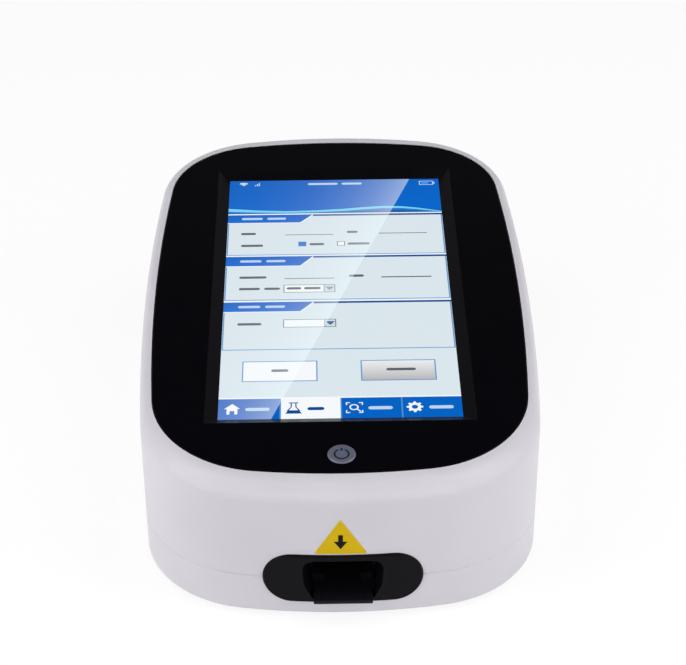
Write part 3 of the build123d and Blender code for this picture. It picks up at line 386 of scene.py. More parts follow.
def dress(thing, finish):
    """Gives a piece or a CAD part its finish."""
    if not thing.material_slots:
        thing.data.materials.append(finish)
    for slot in thing.material_slots:
        slot.material = finish


def parts(*names):
    return [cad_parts[name] for name in names]


def add(name, data):
    """A new object in the scene."""
    thing = bpy.data.objects.new(name, data)
    bpy.context.scene.collection.objects.link(thing)
    return thing


def piece_from(name, mesh, finish, body):
    """A finished piece that rides on a body."""
    piece = add(name, mesh)
    dress(piece, finish)
    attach(piece, body)
    return piece


def middle(node):
    low, high = (Vector(corner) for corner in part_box(node))
    return (low + high) / 2


class Slope:
    """The sloping top: u to the right, v up the slope, rise out of it."""

    tilt = radians(5.0)
    origin = Vector((0.0, 2.4, 75.0)) * MM
    across = Vector((1.0, 0.0, 0.0))
    up = Vector((0.0, cos(tilt), sin(tilt)))
    out = Vector((0.0, -sin(tilt), cos(tilt)))
    screen = 3.7 * MM
    button = -109.87 * MM

    @classmethod
    def at(cls, u, v, rise=0.0):
        return cls.origin + cls.across * u + cls.up * v + cls.out * rise


def mesh_from(name, shape):
    """The mesh of closed shapes, with their faces outwards."""
    bmesh.ops.recalc_face_normals(shape, faces=shape.faces)
    mesh = bpy.data.meshes.new(name)
    shape.to_mesh(mesh)
    shape.free()
    return mesh


def wall(shape, low, high):
    """Faces between two rings of points."""
    for i in range(len(low)):
        j = (i + 1) % len(low)
        shape.faces.new((low[i], low[j], high[j], high[i]))


def slab(name, outlines, place, thickness):
    """Closed prisms over flat outlines. place(x, y, rise) says where a point lies."""
    shape = bmesh.new()
    for outline in outlines:
        low = [shape.verts.new(place(x, y, 0.0)) for x, y in outline]
        high = [shape.verts.new(place(x, y, thickness)) for x, y in outline]
        shape.faces.new(high)
        shape.faces.new(low[::-1])
        wall(shape, low, high)
    return mesh_from(name, shape)


def arc(centre, radius, start, end, steps):
    return [
        (
            centre[0] + radius * cos(start + (end - start) * step / steps),
            centre[1] + radius * sin(start + (end - start) * step / steps),
        )
        for step in range(steps + 1)
    ]


# ---- The page on the display ----


class Page:
    """Flat shapes in millimetres from the display's middle, layer on layer."""

    def __init__(self):
        self.shape = bmesh.new()
        self.inks = self.shape.loops.layers.float_color.new("ink")
        self.look = bpy.context.scene.reader_page

    def fill(self, points, inks, layer):
        """One face. inks is one colour, or one for each point."""
        depth = self.look.depth - layer * self.look.layer
        face = self.shape.faces.new([
            self.shape.verts.new(Slope.at(u * MM, Slope.screen + v * MM, -depth))
            for u, v in points
        ])
        if isinstance(inks[0], (int, float)):
            inks = [inks] * len(points)
        for loop, ink in zip(face.loops, inks):
            loop[self.inks] = (*ink[:3], 1.0)
        face.normal_update()
        if face.normal.dot(Slope.out) < 0:
            face.normal_flip()

    def box(self, left, low, right, high, ink, layer, foot=None):
        """A rectangle, its lower edge in another colour where foot is given."""
        foot = foot or ink
        corners = [(left, low), (right, low), (right, high), (left, high)]
        self.fill(corners, [foot, foot, ink, ink], layer)

    def bar(self, left, right, middle_v, height, ink, layer):
        """A word's stand-in: a bar with round ends."""
        radius = height / 2
        right_end = arc((right - radius, middle_v), radius, -pi / 2, pi / 2, 6)
        left_end = arc((left + radius, middle_v), radius, pi / 2, 3 * pi / 2, 6)
        self.fill(right_end + left_end, ink, layer)

    def edge(self, left, low, right, high, width, ink, layer):
        """A rectangle's outline."""
        self.box(left, low, right, low + width, ink, layer)
        self.box(left, high - width, right, high, ink, layer)
        self.box(left, low + width, left + width, high - width, ink, layer)
        self.box(right - width, low + width, right, high - width, ink, layer)

    def ring(self, centre, inner, outer, ink, layer, start=0.0, end=tau, steps=24):
        inside = arc(centre, inner, start, end, steps)
        outside = arc(centre, outer, start, end, steps)
        for step in range(steps):
            self.fill(
                [inside[step], outside[step], outside[step + 1], inside[step + 1]], ink, layer
            )

    def band(self, points, high_ink, low_ink, layer):
        """A band across the page, from points of u, lower edge and upper edge."""
        for (left, left_low, left_high), (right, right_low, right_high) in zip(points, points[1:]):
            self.fill(
                [(left, left_low), (right, right_low), (right, right_high), (left, left_high)],
                [low_ink, low_ink, high_ink, high_ink], layer,
            )

    def mesh(self, name):
        mesh = bpy.data.meshes.new(name)
        self.shape.to_mesh(mesh)
        self.shape.free()
        return mesh


# Layers of the page, from its ground up
GROUND, HEADER, SHADE, WAVE, RULE, PATCH, FIELD, FRAME, INK, SIGN, PAINTED_GLARE = (
    0, 1, 2, 3, 5, 6, 7, 8, 9, 10, 12
)
# The page's shapes, in millimetres from the display's middle.
# Top of each section, foot of its tab, end of the section
SECTIONS = ((59.2, 52.7, 26.6), (25.6, 18.3, -7.6), (-8.9, -15.8, -42.9))
TAB_TOP, TAB_FOOT = -10.4, -16.3  # right ends of a tab's top and foot
TAB_WORDS = ((-43.4, -33.6), (-31.6, -22.8))
HEADER_FOOT = 60.1
# u, lower and upper edge of the wave under the header
CREST = (
    (-49.68, 62.1, 64.7), (-36.0, 61.2, 63.0), (-22.0, 60.7, 62.2), (-9.0, 60.9, 62.6),
    (4.0, 61.7, 63.6), (14.0, 62.9, 64.9), (23.0, 63.8, 65.6), (31.0, 63.6, 65.2),
    (38.0, 62.6, 63.9), (44.0, 61.4, 62.4), (49.68, 60.4, 60.8),
)
WORD_HEIGHT = 1.7
# left, right and height above the middle of the bars that stand for words
WORDS = (
    (-43.5, -36.5, 43.7), (5.1, 10.2, 44.4), (-43.3, -33.1, 34.2), (-12.1, -5.3, 34.9),
    (5.3, 15.4, 35.0), (-43.4, -31.2, 9.5), (5.4, 12.1, 10.0), (-43.4, -34.0, 0.9),
    (-32.2, -25.2, 0.9), (-43.4, -32.9, -24.8), (-22.3, -15.8, 1.0), (-14.6, -7.2, 1.0),
    (-28.4, -21.2, -57.0), (19.6, 32.0, -57.0),
)
# left, right, height and width of the lines to write on
LINES = (
    (-23.2, -1.1, 42.6, 0.45), (19.8, 41.9, 43.1, 0.5), (-23.2, -1.1, 8.4, 0.5),
    (19.8, 42.1, 8.8, 0.8),
)
# Boxes are left, low, right, high
TICKED, UNTICKED = (-17.1, 33.4, -13.5, 37.0), (0.5, 33.4, 4.1, 37.0)
LISTS = ((-23.6, -2.1, -0.8, 3.7), (-23.6, -27.4, -0.8, -21.7))
LIST_SPLIT = -5.9  # between a list's text and its arrow
THIN = 0.36
PLAIN_KEY, SHADED_KEY = (-40.5, -64.2, -9.1, -50.6), (9.0, -64.4, 40.4, -50.7)
KEY_TOP, KEY_FOOT = (0.86, 0.86, 0.86), (0.46, 0.46, 0.47)
KEY_FRAME = 0.5
WAVES_FROM, WAVES = (-43.1, 83.8), (0.9, 1.9, 2.9)
SIGNAL_LEFT, SIGNAL_LOW, SIGNAL_STEP = -37.8, 83.7, 0.9
CLOCK_WORDS = ((-12.6, 1.6), (3.4, 13.1))
BATTERY, BATTERY_TIP = (40.3, 83.2, 47.0, 86.6), (47.1, 84.2, 47.8, 85.6)
BATTERY_FILL = (41.4, 84.2, 44.6, 85.6)
NAV_TOP = -75.3
NAV_EDGES = (-24.4, 0.4, 25.2)
NAV_WORD_V = -82.0
HOUSE_ROOF = ((-47.3, -81.6), (-40.7, -81.6), (-44.0, -78.4))
HOUSE_WALLS = (
    (-46.2, -85.0, -45.0, -81.6), (-43.0, -85.0, -41.8, -81.6), (-45.0, -82.9, -43.0, -81.6),
)
FLASK_NECK = (
    (-20.9, -78.5, -17.1, -77.9), (-20.2, -80.8, -19.7, -78.5), (-18.3, -80.8, -17.8, -78.5),
)
FLASK_BODY = (
    ((-20.2, -80.8), (-19.7, -80.8), (-21.2, -83.4), (-21.9, -83.4)),
    ((-18.3, -80.8), (-17.8, -80.8), (-16.1, -83.4), (-16.8, -83.4)),
    ((-22.4, -85.0), (-15.6, -85.0), (-16.8, -82.9), (-21.2, -82.9)),
)
LOUPE, LOUPE_RIM = (5.6, -81.4), (1.3, 1.9)
LOUPE_GRIP = ((6.7, -82.9), (7.1, -82.5), (8.5, -84.0), (8.1, -84.4))
FINDER, FINDER_HALF = (5.8, -81.7), (3.5, 3.4)  # broken frame round the loupe
FINDER_ARM, FINDER_WIDTH = 1.7, 0.5
GEAR, GEAR_RIM, GEAR_TEETH = (30.4, -81.7), (1.3, 2.6), 8
GEAR_TOOTH = ((2.5, -0.24), (3.4, -0.14), (3.4, 0.14), (2.5, 0.24))  # radius, angle
# Painted glare over the page's left side: its edge, its strength at the edge and how far it fades
PAINTED_GLARE_EDGE = ((35.8, 88.32), (-28.1, -88.32))
PAINTED_GLARE_SHARE, PAINTED_GLARE_FADE = 0.30, 21.0


def page_ground(page, look, half, top):
    page.box(-half, -top, half, top, look.ground, GROUND)
    page.box(-half, HEADER_FOOT, half, top, look.blue, HEADER, foot=scaled(look.blue, 1.12))
    below = [(u, HEADER_FOOT, low) for u, low, _ in CREST]
    above = [(u, high, high + 0.7) for u, _, high in CREST]
    page.band(below, look.tab, scaled(look.blue, 0.6), SHADE)
    page.band(above, look.blue, look.navy, SHADE)
    page.band(CREST, scaled(look.crest, 1.12), look.crest, WAVE)


def page_sections(page, look, half):
    tab_foot = scaled(look.blue, 1.2)
    for top, foot, end in SECTIONS:
        page.box(-half, top, half, top + 0.9, look.white, RULE)
        rim = foot - 0.5
        page.fill(
            [(-half, rim), (TAB_FOOT + 0.3, rim), (TAB_TOP + 0.9, top), (-half, top)],
            look.white, PATCH,
        )
        page.fill(
            [(-half, foot), (TAB_FOOT, foot), (TAB_TOP, top), (-half, top)],
            [tab_foot, tab_foot, look.blue, look.blue], FIELD,
        )
        page.box(TAB_TOP, top - 1.35, half, top, look.navy, FIELD)
        page.edge(-half + 0.15, end, half - 0.15, top - 0.75, 0.5, look.sky, RULE)
        for left, right in TAB_WORDS:
            page.bar(left, right, (top + foot) / 2, WORD_HEIGHT, look.pale, FRAME)
    for left, right, middle_v in WORDS:
        page.bar(left, right, middle_v, WORD_HEIGHT, look.ink, INK)
    for left, right, middle_v, width in LINES:
        page.box(left, middle_v - width / 2, right, middle_v + width / 2, look.ink, FIELD)


def page_boxes(page, look):
    page.box(*TICKED, look.tab, FIELD)
    page.box(*UNTICKED, look.white, FIELD)
    page.edge(*UNTICKED, THIN, look.ink, FRAME)
    for left, low, right, high in LISTS:
        page.box(left, low, right, high, look.white, FIELD)
        page.box(LIST_SPLIT + 0.2, low, right, high, scaled(look.ground, 0.9), FRAME)
        page.edge(left, low, right, high, THIN, look.ink, INK)
        page.box(LIST_SPLIT, low, LIST_SPLIT + 0.3, high, look.ink, INK)
        u, v = -3.3, (low + high) / 2
        page.fill([(u - 2.0, v + 1.2), (u, v - 1.5), (u + 2.0, v + 1.2)], look.navy, SIGN)
    page.box(*PLAIN_KEY, look.white, FIELD)
    page.edge(*PLAIN_KEY, KEY_FRAME, look.sky, FRAME)
    page.box(*SHADED_KEY, KEY_TOP, FIELD, foot=KEY_FOOT)
    page.edge(*SHADED_KEY, KEY_FRAME, look.sky, FRAME)


def page_status(page, look):
    for outer in WAVES:
        page.ring(
            WAVES_FROM, max(0.0, outer - 0.6), outer, look.white, PATCH,
            radians(45), radians(135), 8,
        )
    for step in range(3):
        left, high = SIGNAL_LEFT + step * SIGNAL_STEP, SIGNAL_LOW + 1.0 + step * 0.8
        page.box(left, SIGNAL_LOW, left + 0.55, high, look.pale, PATCH)
    for left, right in CLOCK_WORDS:
        page.bar(left, right, 85.0, WORD_HEIGHT, look.pale, PATCH)
    page.edge(*BATTERY, 0.45, look.pale, PATCH)
    page.box(*BATTERY_TIP, look.pale, PATCH)
    page.box(*BATTERY_FILL, scaled(look.tab, 1.8), PATCH)


def page_bar(page, look, half, top):
    edges = (-half, *NAV_EDGES, half)
    for index, (left, right) in enumerate(zip(edges, edges[1:])):
        chosen = index == 1
        page.box(left, -top, right, NAV_TOP, look.white if chosen else look.blue, RULE)
        word = look.navy if chosen else look.pale
        end = left + (18.0 if chosen else 21.0)
        page.bar(left + 11.0, end, NAV_WORD_V, 2.0, word, FIELD)
    page.box(-half, NAV_TOP, half, NAV_TOP + 0.8, look.white, RULE)
    for edge in NAV_EDGES:
        page.box(edge - 0.3, -top, edge + 0.3, NAV_TOP, look.sky, PATCH)


def page_signs(page, look):
    """House, flask, loupe in a broken frame, and gear on the lower bar."""
    page.fill(HOUSE_ROOF, look.white, FIELD)
    for box in HOUSE_WALLS:
        page.box(*box, look.white, FIELD)
    for box in FLASK_NECK:
        page.box(*box, look.navy, FIELD)
    for points in FLASK_BODY:
        page.fill(points, look.navy, FIELD)
    page.ring(LOUPE, *LOUPE_RIM, look.white, FIELD)
    page.fill(LOUPE_GRIP, look.white, FIELD)
    for side_u in (-1, 1):
        for side_v in (-1, 1):
            u, v = FINDER[0] + side_u * FINDER_HALF[0], FINDER[1] + side_v * FINDER_HALF[1]
            for width, height in ((FINDER_ARM, FINDER_WIDTH), (FINDER_WIDTH, FINDER_ARM)):
                box = sorted_box(u, v, -side_u * width, -side_v * height)
                page.box(*box, look.white, FIELD)
    page.ring(GEAR, *GEAR_RIM, look.white, FIELD)
    for tooth in range(GEAR_TEETH):
        turn = tau * tooth / GEAR_TEETH
        page.fill(
            [
                (GEAR[0] + radius * cos(turn + angle), GEAR[1] + radius * sin(turn + angle))
                for radius, angle in GEAR_TOOTH
            ],
            look.white, FIELD,
        )


def sorted_box(u, v, width, height):
    """Left, low, right and high of a box from one corner and signed sizes."""
    return min(u, u + width), min(v, v + height), max(u, u + width), max(v, v + height)


def page_sweep(page, half):
    """Strips beside the painted glare's edge, fading to the left, cut off at the page's left side.
    """
    (top_u, top_v), (foot_u, foot_v) = PAINTED_GLARE_EDGE
    run = (top_v - foot_v) / (top_u - foot_u)
    rows = []
    for offset in (0.0, 4.0, 8.0, 12.0, 16.5, foot_u + half, 30.0, 40.0, 52.0, 65.0, 84.0):
        start = max(-half, foot_u - offset)
        foot = (start, foot_v + (start - foot_u + offset) * run)
        ink = (PAINTED_GLARE_SHARE * exp(-offset / PAINTED_GLARE_FADE),) * 3
        rows.append((foot, (top_u - offset, top_v), ink))
    for (foot, head, ink), (far_foot, far_head, far_ink) in zip(rows, rows[1:]):
        page.fill([far_foot, foot, head, far_head], [far_ink, ink, ink, far_ink], PAINTED_GLARE)


class ReaderPage(bpy.types.Operator):
    """Builds the page that the display shows, with bars in place of words"""

    bl_idname = "reader.page"
    bl_label = "Display Page"

    def execute(self, context):
        look = context.scene.reader_page
        half, top = look.width / MM / 2, look.height / MM / 2
        page = Page()
        page_ground(page, look, half, top)
        page_sections(page, look, half)
        page_boxes(page, look)
        page_status(page, look)
        page_bar(page, look, half, top)
        page_signs(page, look)
        mesh = page.mesh("display_page")
        piece_from("display_page", mesh, lit("page_light", 1.07), CASE)
        # Painted reflection: a pale overlay on the page that fades to the left and stands in for
        # glare on the glass
        light = Page()
        page_sweep(light, half)
        mesh = light.mesh("display_sweep")
        piece_from("display_sweep", mesh, painted_glare("page_sweep"), CASE)
        return {"FINISHED"}


# ---- Case, display, button, trim and tray ----


class ReaderCase(bpy.types.Operator):
    """Finishes the shells, the feet, the black panel, the glass and the display"""

    bl_idname = "reader.case"
    bl_label = "Case"

    def execute(self, context):
        look = context.scene.reader_case
        shell = moulded("case_shell", look.shell, 0.36, grain=0.012, cell=1400.0, sheen=0.45)
        rubber = moulded("foot_rubber", (0.03, 0.03, 0.032), 0.8, grain=0.05, sheen=0.2)
        for part in parts("upper_shell", "lower_shell"):
            dress(part, shell)
        for end in ("front", "rear"):
            for part in parts(f"foot_{end}_left", f"foot_{end}_right"):
                dress(part, rubber)
        dress(*parts("display_bezel"), moulded(
            "panel_black", look.panel, 0.28, grain=0.004, cell=900.0, sheen=0.10,
        ))
        dress(*parts("touch_glass"), clear("touch_glass", (0.97, 0.99, 1.0)))
        dress(*parts("lcd_module"), moulded("display_back", (0.01, 0.01, 0.012), 0.3, grain=0.004))
        return {"FINISHED"}


class ReaderButton(bpy.types.Operator):
    """Turns the power button's metal and lays the power sign into its top"""

    bl_idname = "reader.button"
    bl_label = "Power Button"

    def execute(self, context):
        look = context.scene.reader_case
        centre = Slope.at(0.0, Slope.button)
        dress(*parts("power_button"), turned("button_metal", look.button, centre, Slope.tilt))
        radius, stroke, gap, thick = 2.8 * MM, 0.72 * MM, radians(27), 0.08 * MM
        low, rise_above = -0.4 * MM, 0.45 * MM  # sign's middle, its foot over the slope

        def place(x, y, rise):
            return Slope.at(x, Slope.button + low + y, rise_above + rise)

        steps = 40
        start, end = pi / 2 + gap, pi / 2 - gap + tau
        inner = arc((0, 0), radius - stroke / 2, start, end, steps)
        outer = arc((0, 0), radius + stroke / 2, start, end, steps)
        tiles = [
            [inner[i], outer[i], outer[i + 1], inner[i + 1]][::-1] for i in range(steps)
        ]
        half = 0.42 * MM

        def upright(foot, head):
            return [(-half, foot), (half, foot), (half, head), (-half, head)]

        tiles.append(upright(1.9 * MM, 3.5 * MM))
        ink = moulded("sign_ink", look.sign, 0.3, grain=0.003)
        sign = slab("power_sign", tiles, place, thick)
        piece_from("power_sign", sign, ink, "button")
        lamp = slab("power_lamp", [upright(0.1 * MM, 1.88 * MM)], place, thick)
        piece_from("power_lamp", lamp, glow("lamp_blue", look.lamp, 0.35), "button")
        plunger = moulded("plunger", (0.6, 0.58, 0.5), 0.4)
        dress(*parts("switch_plunger"), plunger)
        dress(*parts("button_switch"), moulded("switch_body", (0.02, 0.02, 0.02), 0.5))
        return {"FINISHED"}


# Arrow on the marker, in millimetres from the middle of its foot
ARROW = (
    (-0.95, 9.4), (-0.95, 6.2), (-2.7, 6.2), (0.0, 2.4), (2.7, 6.2), (0.95, 6.2), (0.95, 9.4),
)


class ReaderFront(bpy.types.Operator):
    """Finishes the trim, the tray and the marker, and lays the marker's arrow on it"""

    bl_idname = "reader.front"
    bl_label = "Tray Front"

    def execute(self, context):
        look = context.scene.reader_case
        dress(*parts("tray_trim"), moulded("trim_black", look.trim, 0.42, grain=0.01, sheen=0.07))
        dress(*parts("sample_tray"), moulded(
            "tray_black", look.tray, 0.30, grain=0.006, sheen=0.12,
        ))
        dress(*parts("marker_label"), printed_film("marker_film", look.marker))
        low, high = (Vector(corner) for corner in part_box("marker_label"))
        centre_x, foot = (low.x + high.x) / 2, low.z
        bow = 234.8 * MM  # radius of the case's front end
        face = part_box("upper_shell")[0][1] - 0.20 * MM  # just inside the marker's front

        def place(x, z, rise):
            sag = bow - sqrt(bow * bow - (centre_x + x) ** 2)
            return Vector((centre_x + x, face + sag - rise, foot + z))

        outline = [(x * MM, z * MM) for x, z in ARROW]
        mesh = slab("marker_arrow", [outline], place, 0.05 * MM)
        ink = printed_film("marker_ink", look.ink)
        piece_from("marker_arrow", mesh, ink, CASE)
        return {"FINISHED"}


# ---- What works inside ----


class ReaderInside(bpy.types.Operator):
    """Finishes the drive, the optics, the boards and the sockets"""

    bl_idname = "reader.inside"
    bl_label = "Inside"

    def execute(self, context):
        black = moulded("optics_black", (0.012, 0.012, 0.012), 0.6, grain=0.03)
        acetal = moulded("acetal", (0.78, 0.78, 0.74), 0.35, grain=0.006)
        steel = brushed("bent_steel", (0.56, 0.57, 0.58))
        chip = moulded("chip_epoxy", (0.016, 0.016, 0.017), 0.55, grain=0.02)
        mask = board("board_mask", (0.008, 0.075, 0.035))
        shaft = brushed("shaft_steel", (0.62, 0.62, 0.63), 0.18, (1800.0, 1800.0, 40.0))
        sink = brushed("sink_aluminium", (0.72, 0.72, 0.74), 0.3, (1800.0, 60.0, 1800.0))
        plate = brushed("socket_plate", (0.78, 0.78, 0.79), 0.2, (300.0, 60.0, 300.0))
        can = brushed("motor_can", (0.42, 0.43, 0.45), 0.34, (600.0, 600.0, 30.0))
        nylon = moulded("guide_nylon", (0.055, 0.055, 0.06), 0.5, grain=0.03)
        table = {
            acetal: ("tray_rack", "drive_pinion"),
            steel: ("lcd_straps", "motor_bracket"),
            shaft: ("motor_shaft",),
            can: ("drive_motor",),
            nylon: ("tray_guide",),
            black: ("optics_housing", "optics_cover", "home_sensor", "buzzer"),
            chip: ("processor", "light_sensor", "display_connector"),
            mask: ("main_board", "button_board", "sensor_board"),
            clear("lens_glass", (0.93, 0.97, 1.0), 0.02, 1.52): ("objective_lens",),
            clear("lamp_epoxy", (0.80, 0.88, 1.0), 0.08, 1.5): ("excitation_lamp",),
            sink: ("heat_sink",),
            ribbon("flat_cable", (0.50, 0.24, 0.05)): ("display_cable",),
            plate: ("usb_socket_left", "usb_socket_right"),
            moulded("inlet_black", (0.012, 0.012, 0.013), 0.4): ("dc_inlet",),
        }
        for finish, names in table.items():
            for part in parts(*names):
                dress(part, finish)
        return {"FINISHED"}


# ---- Screws and board parts, set out with Geometry Nodes ----


class Tree(Wiring):
    """A Geometry Nodes tree under way, its inputs given by name."""

    def __init__(self, name, sockets):
        super().__init__(bpy.data.node_groups.new(name, "GeometryNodeTree"))
        face = self.tree.interface
        face.new_socket("Points", in_out="INPUT", socket_type="NodeSocketGeometry")
        for label, kind in sockets:
            face.new_socket(label, in_out="INPUT", socket_type=f"NodeSocket{kind}")
        face.new_socket("Geometry", in_out="OUTPUT", socket_type="NodeSocketGeometry")
        start = self.tree.nodes.new("NodeGroupInput")
        self.given = {socket.name: Wire(self, socket) for socket in start.outputs}

    def finish(self, instances):
        real = self.node("GeometryNodeRealizeInstances", {}, {0: instances})
        painted = self.node(
            "GeometryNodeSetMaterial", {}, {"Geometry": real, "Material": self.given["Finish"]}
        )
        self.plug(self.tree.nodes.new("NodeGroupOutput").inputs[0], painted)
        return self.tree


def set_out(name, points, tree, values, finish, body):
    """Runs a tree on points and keeps its result as a plain piece."""
    dots = bpy.data.meshes.new(f"{name}_points")
    dots.from_pydata([tuple(point) for point in points], [], [])
    carrier = add(f"{name}_points", dots)
    modifier = carrier.modifiers.new(name, "NODES")
    modifier.node_group = tree
    for item in tree.interface.items_tree:
        if item.in_out == "INPUT" and item.name in values:
            modifier[item.identifier] = values[item.name]
    carrier.update_tag()
    bpy.context.view_layer.update()
    seen = carrier.evaluated_get(bpy.context.evaluated_depsgraph_get())
    mesh = bpy.data.meshes.new_from_object(seen)
    mesh.name = name
    carrier.modifiers.remove(modifier)
    bpy.data.objects.remove(carrier)
    return piece_from(name, mesh, finish, body)


def screw_tree():
    """A screw on each point: the head is an object, the shank a cylinder."""
    made = Tree("screws", (
        ("Head", "Object"), ("Head Radius", "Float"), ("Head Height", "Float"),
        ("Shank Radius", "Float"), ("Shank Length", "Float"), ("Facing", "Rotation"),
        ("Seed", "Int"), ("Finish", "Material"),
    ))
    given = made.given
    head = made.node("GeometryNodeObjectInfo", {}, {"Object": given["Head"]}, "Geometry")
    radius = given["Head Radius"]
    size = made.node("ShaderNodeCombineXYZ", {}, {0: radius, 1: radius, 2: given["Head Height"]})
    sized = made.node("GeometryNodeTransform", {}, {"Geometry": head, "Scale": size})
    shank = made.node("GeometryNodeMeshCylinder", {}, {
        "Vertices": 20, "Radius": given["Shank Radius"], "Depth": given["Shank Length"],
    }, "Mesh")
    below = made.node("ShaderNodeCombineXYZ", {}, {2: given["Shank Length"] * -0.5})
    lowered = made.node("GeometryNodeTransform", {}, {"Geometry": shank, "Translation": below})
    join = made.tree.nodes.new("GeometryNodeJoinGeometry")
    made.plug(join.inputs[0], sized)
    made.plug(join.inputs[0], lowered)
    turn = made.node("FunctionNodeRandomValue", {"data_type": "FLOAT_VECTOR"}, {
        0: (0.0, 0.0, 0.0), 1: (0.0, 0.0, tau), "Seed": given["Seed"],
    })
    spun = made.node("FunctionNodeRotateRotation", {"rotation_space": "LOCAL"}, {
        0: given["Facing"], 1: turn,
    })
    return made.finish(made.node("GeometryNodeInstanceOnPoints", {}, {
        "Points": given["Points"], "Instance": Wire(made, join.outputs[0]), "Rotation": spun,
    }))


def screw_head():
    """A low domed head of unit size with a cross recess, standing on the origin."""
    dome = bmesh.new()
    rim = [(1.0, 0.0), (1.0, 0.45), (0.93, 0.66), (0.75, 0.86), (0.45, 0.97), (0.0, 1.0)]
    sides = 32
    rings = []
    for radius, height in rim[:-1]:
        rings.append([
            dome.verts.new((radius * cos(tau * i / sides), radius * sin(tau * i / sides), height))
            for i in range(sides)
        ])
    for lower, upper in zip(rings, rings[1:]):
        wall(dome, lower, upper)
    dome.faces.new(rings[0][::-1])
    top = dome.verts.new((0.0, 0.0, rim[-1][1]))
    for i in range(sides):
        dome.faces.new((rings[-1][i], rings[-1][(i + 1) % sides], top))
    body = add("screw_dome", mesh_from("screw_dome", dome))
    arm, thick, low, high = 0.52, 0.13, 0.35, 1.2
    cross = bmesh.new()
    outline = [
        (arm, -thick), (arm, thick), (thick, thick), (thick, arm), (-thick, arm),
        (-thick, thick), (-arm, thick), (-arm, -thick), (-thick, -thick), (-thick, -arm),
        (thick, -arm), (thick, -thick),
    ]
    foot = [cross.verts.new((x * 0.6, y * 0.9, low)) for x, y in outline]
    crown = [cross.verts.new((x, y, high)) for x, y in outline]
    cross.faces.new(foot[::-1])
    cross.faces.new(crown)
    wall(cross, foot, crown)
    cutter = add("screw_cross", mesh_from("screw_cross", cross))
    cut = body.modifiers.new("recess", "BOOLEAN")
    cut.operation, cut.object, cut.solver = "DIFFERENCE", cutter, "EXACT"
    seen = body.evaluated_get(bpy.context.evaluated_depsgraph_get())
    mesh = bpy.data.meshes.new_from_object(seen)
    bpy.data.objects.remove(body)
    bpy.data.objects.remove(cutter)
    return add("screw_head", mesh)


SMALL = (1.9 * MM, 1.3 * MM, 1.0 * MM)
LARGE = (2.75 * MM, 2.2 * MM, 1.5 * MM)
# node, (head radius, head height, shank radius), way that the head faces
SCREWS = (
    ("case_screws", LARGE, "down"), ("lcd_screws", SMALL, "inward"),
    ("button_board_screws", SMALL, "inward"), ("motor_screws", SMALL, "up"),
    ("bracket_screws", SMALL, "up"), ("guide_screws", SMALL, "up"),
    ("optics_screws", SMALL, "up"), ("board_screws", SMALL, "up"),
)
FACING = {
    "up": Vector((0.0, 0.0, 1.0)), "down": Vector((0.0, 0.0, -1.0)), "inward": -Slope.out,
}


def screw_seats(node, size, way):
    """Where each screw's head stands on its seat, and its shank's length."""
    points = [vertex.co.copy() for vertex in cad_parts[node].data.vertices]
    reach = 4.5 * size[0]  # points nearer than this, seen along the way, are one screw's
    clusters = []
    for point in points:
        flat = point - way * point.dot(way)
        for cluster in clusters:
            if (cluster["at"] - flat).length < reach:
                cluster["points"].append(point)
                break
        else:
            clusters.append({"at": flat, "points": [point]})
    seats, shank = [], 0.0
    for cluster in clusters:
        heights = [point.dot(way) for point in cluster["points"]]
        flats = [point - way * point.dot(way) for point in cluster["points"]]
        corners = [
            Vector([pick(flat[axis] for flat in flats) for axis in range(3)])
            for pick in (min, max)
        ]
        top, low = max(heights), min(heights)
        seats.append((corners[0] + corners[1]) / 2 + way * (top - size[1]))
        shank = top - size[1] - low
    return seats, shank


class ReaderScrews(bpy.types.Operator):
    """Sets a cross-head screw in the place of each plain one"""

    bl_idname = "reader.screws"
    bl_label = "Screws"

    def execute(self, context):
        tree, head = screw_tree(), screw_head()
        finish = brushed("screw_zinc", (0.60, 0.60, 0.60), 0.28, (500.0, 500.0, 500.0))
        for node, size, facing in SCREWS:
            way = FACING[facing]
            seats, shank = screw_seats(node, size, way)
            values = {
                "Head": head, "Head Radius": size[0], "Head Height": size[1],
                "Shank Radius": size[2], "Shank Length": shank,
                "Facing": way.to_track_quat("Z", "Y").to_euler(),
                "Seed": context.scene.reader_stage.seed, "Finish": finish,
            }
            piece = set_out(f"{node}_detail", seats, tree, values, finish, CASE)
            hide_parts(node)
        bpy.data.objects.remove(head)
        return {"FINISHED"}


def part_tree():
    """A small block on each point, some turned by a quarter."""
    made = Tree("board_parts", (
        ("Part", "Object"), ("Length", "Float"), ("Seed", "Int"), ("Finish", "Material"),
    ))
    given = made.given
    part = made.node("GeometryNodeObjectInfo", {}, {"Object": given["Part"]}, "Geometry")
    quarter = made.node("FunctionNodeRandomValue", {"data_type": "INT"}, {
        4: 0, 5: 1, "Seed": given["Seed"],
    }, 2)
    turn = made.node("ShaderNodeCombineXYZ", {}, {2: quarter * (pi / 2)})
    size = made.node("ShaderNodeCombineXYZ", {}, dict.fromkeys(range(3), given["Length"]))
    return made.finish(made.node("GeometryNodeInstanceOnPoints", {}, {
        "Points": given["Points"], "Instance": part, "Rotation": turn, "Scale": size,
    }))


def chip_part():
    """A chip part of unit length: a block with raised end caps."""
    shape = bmesh.new()
    for left, right, grow in ((-0.5, -0.34, 0.02), (-0.34, 0.34, 0.0), (0.34, 0.5, 0.02)):
        half, top = 0.27 + grow, 0.32 + grow
        block = bmesh.ops.create_cube(shape, size=1.0)["verts"]
        for vertex in block:
            vertex.co.x = left if vertex.co.x < 0 else right
            vertex.co.y *= 2 * half
            vertex.co.z = 0.0 if vertex.co.z < 0 else top
    return add("chip_part", mesh_from("chip_part", shape))


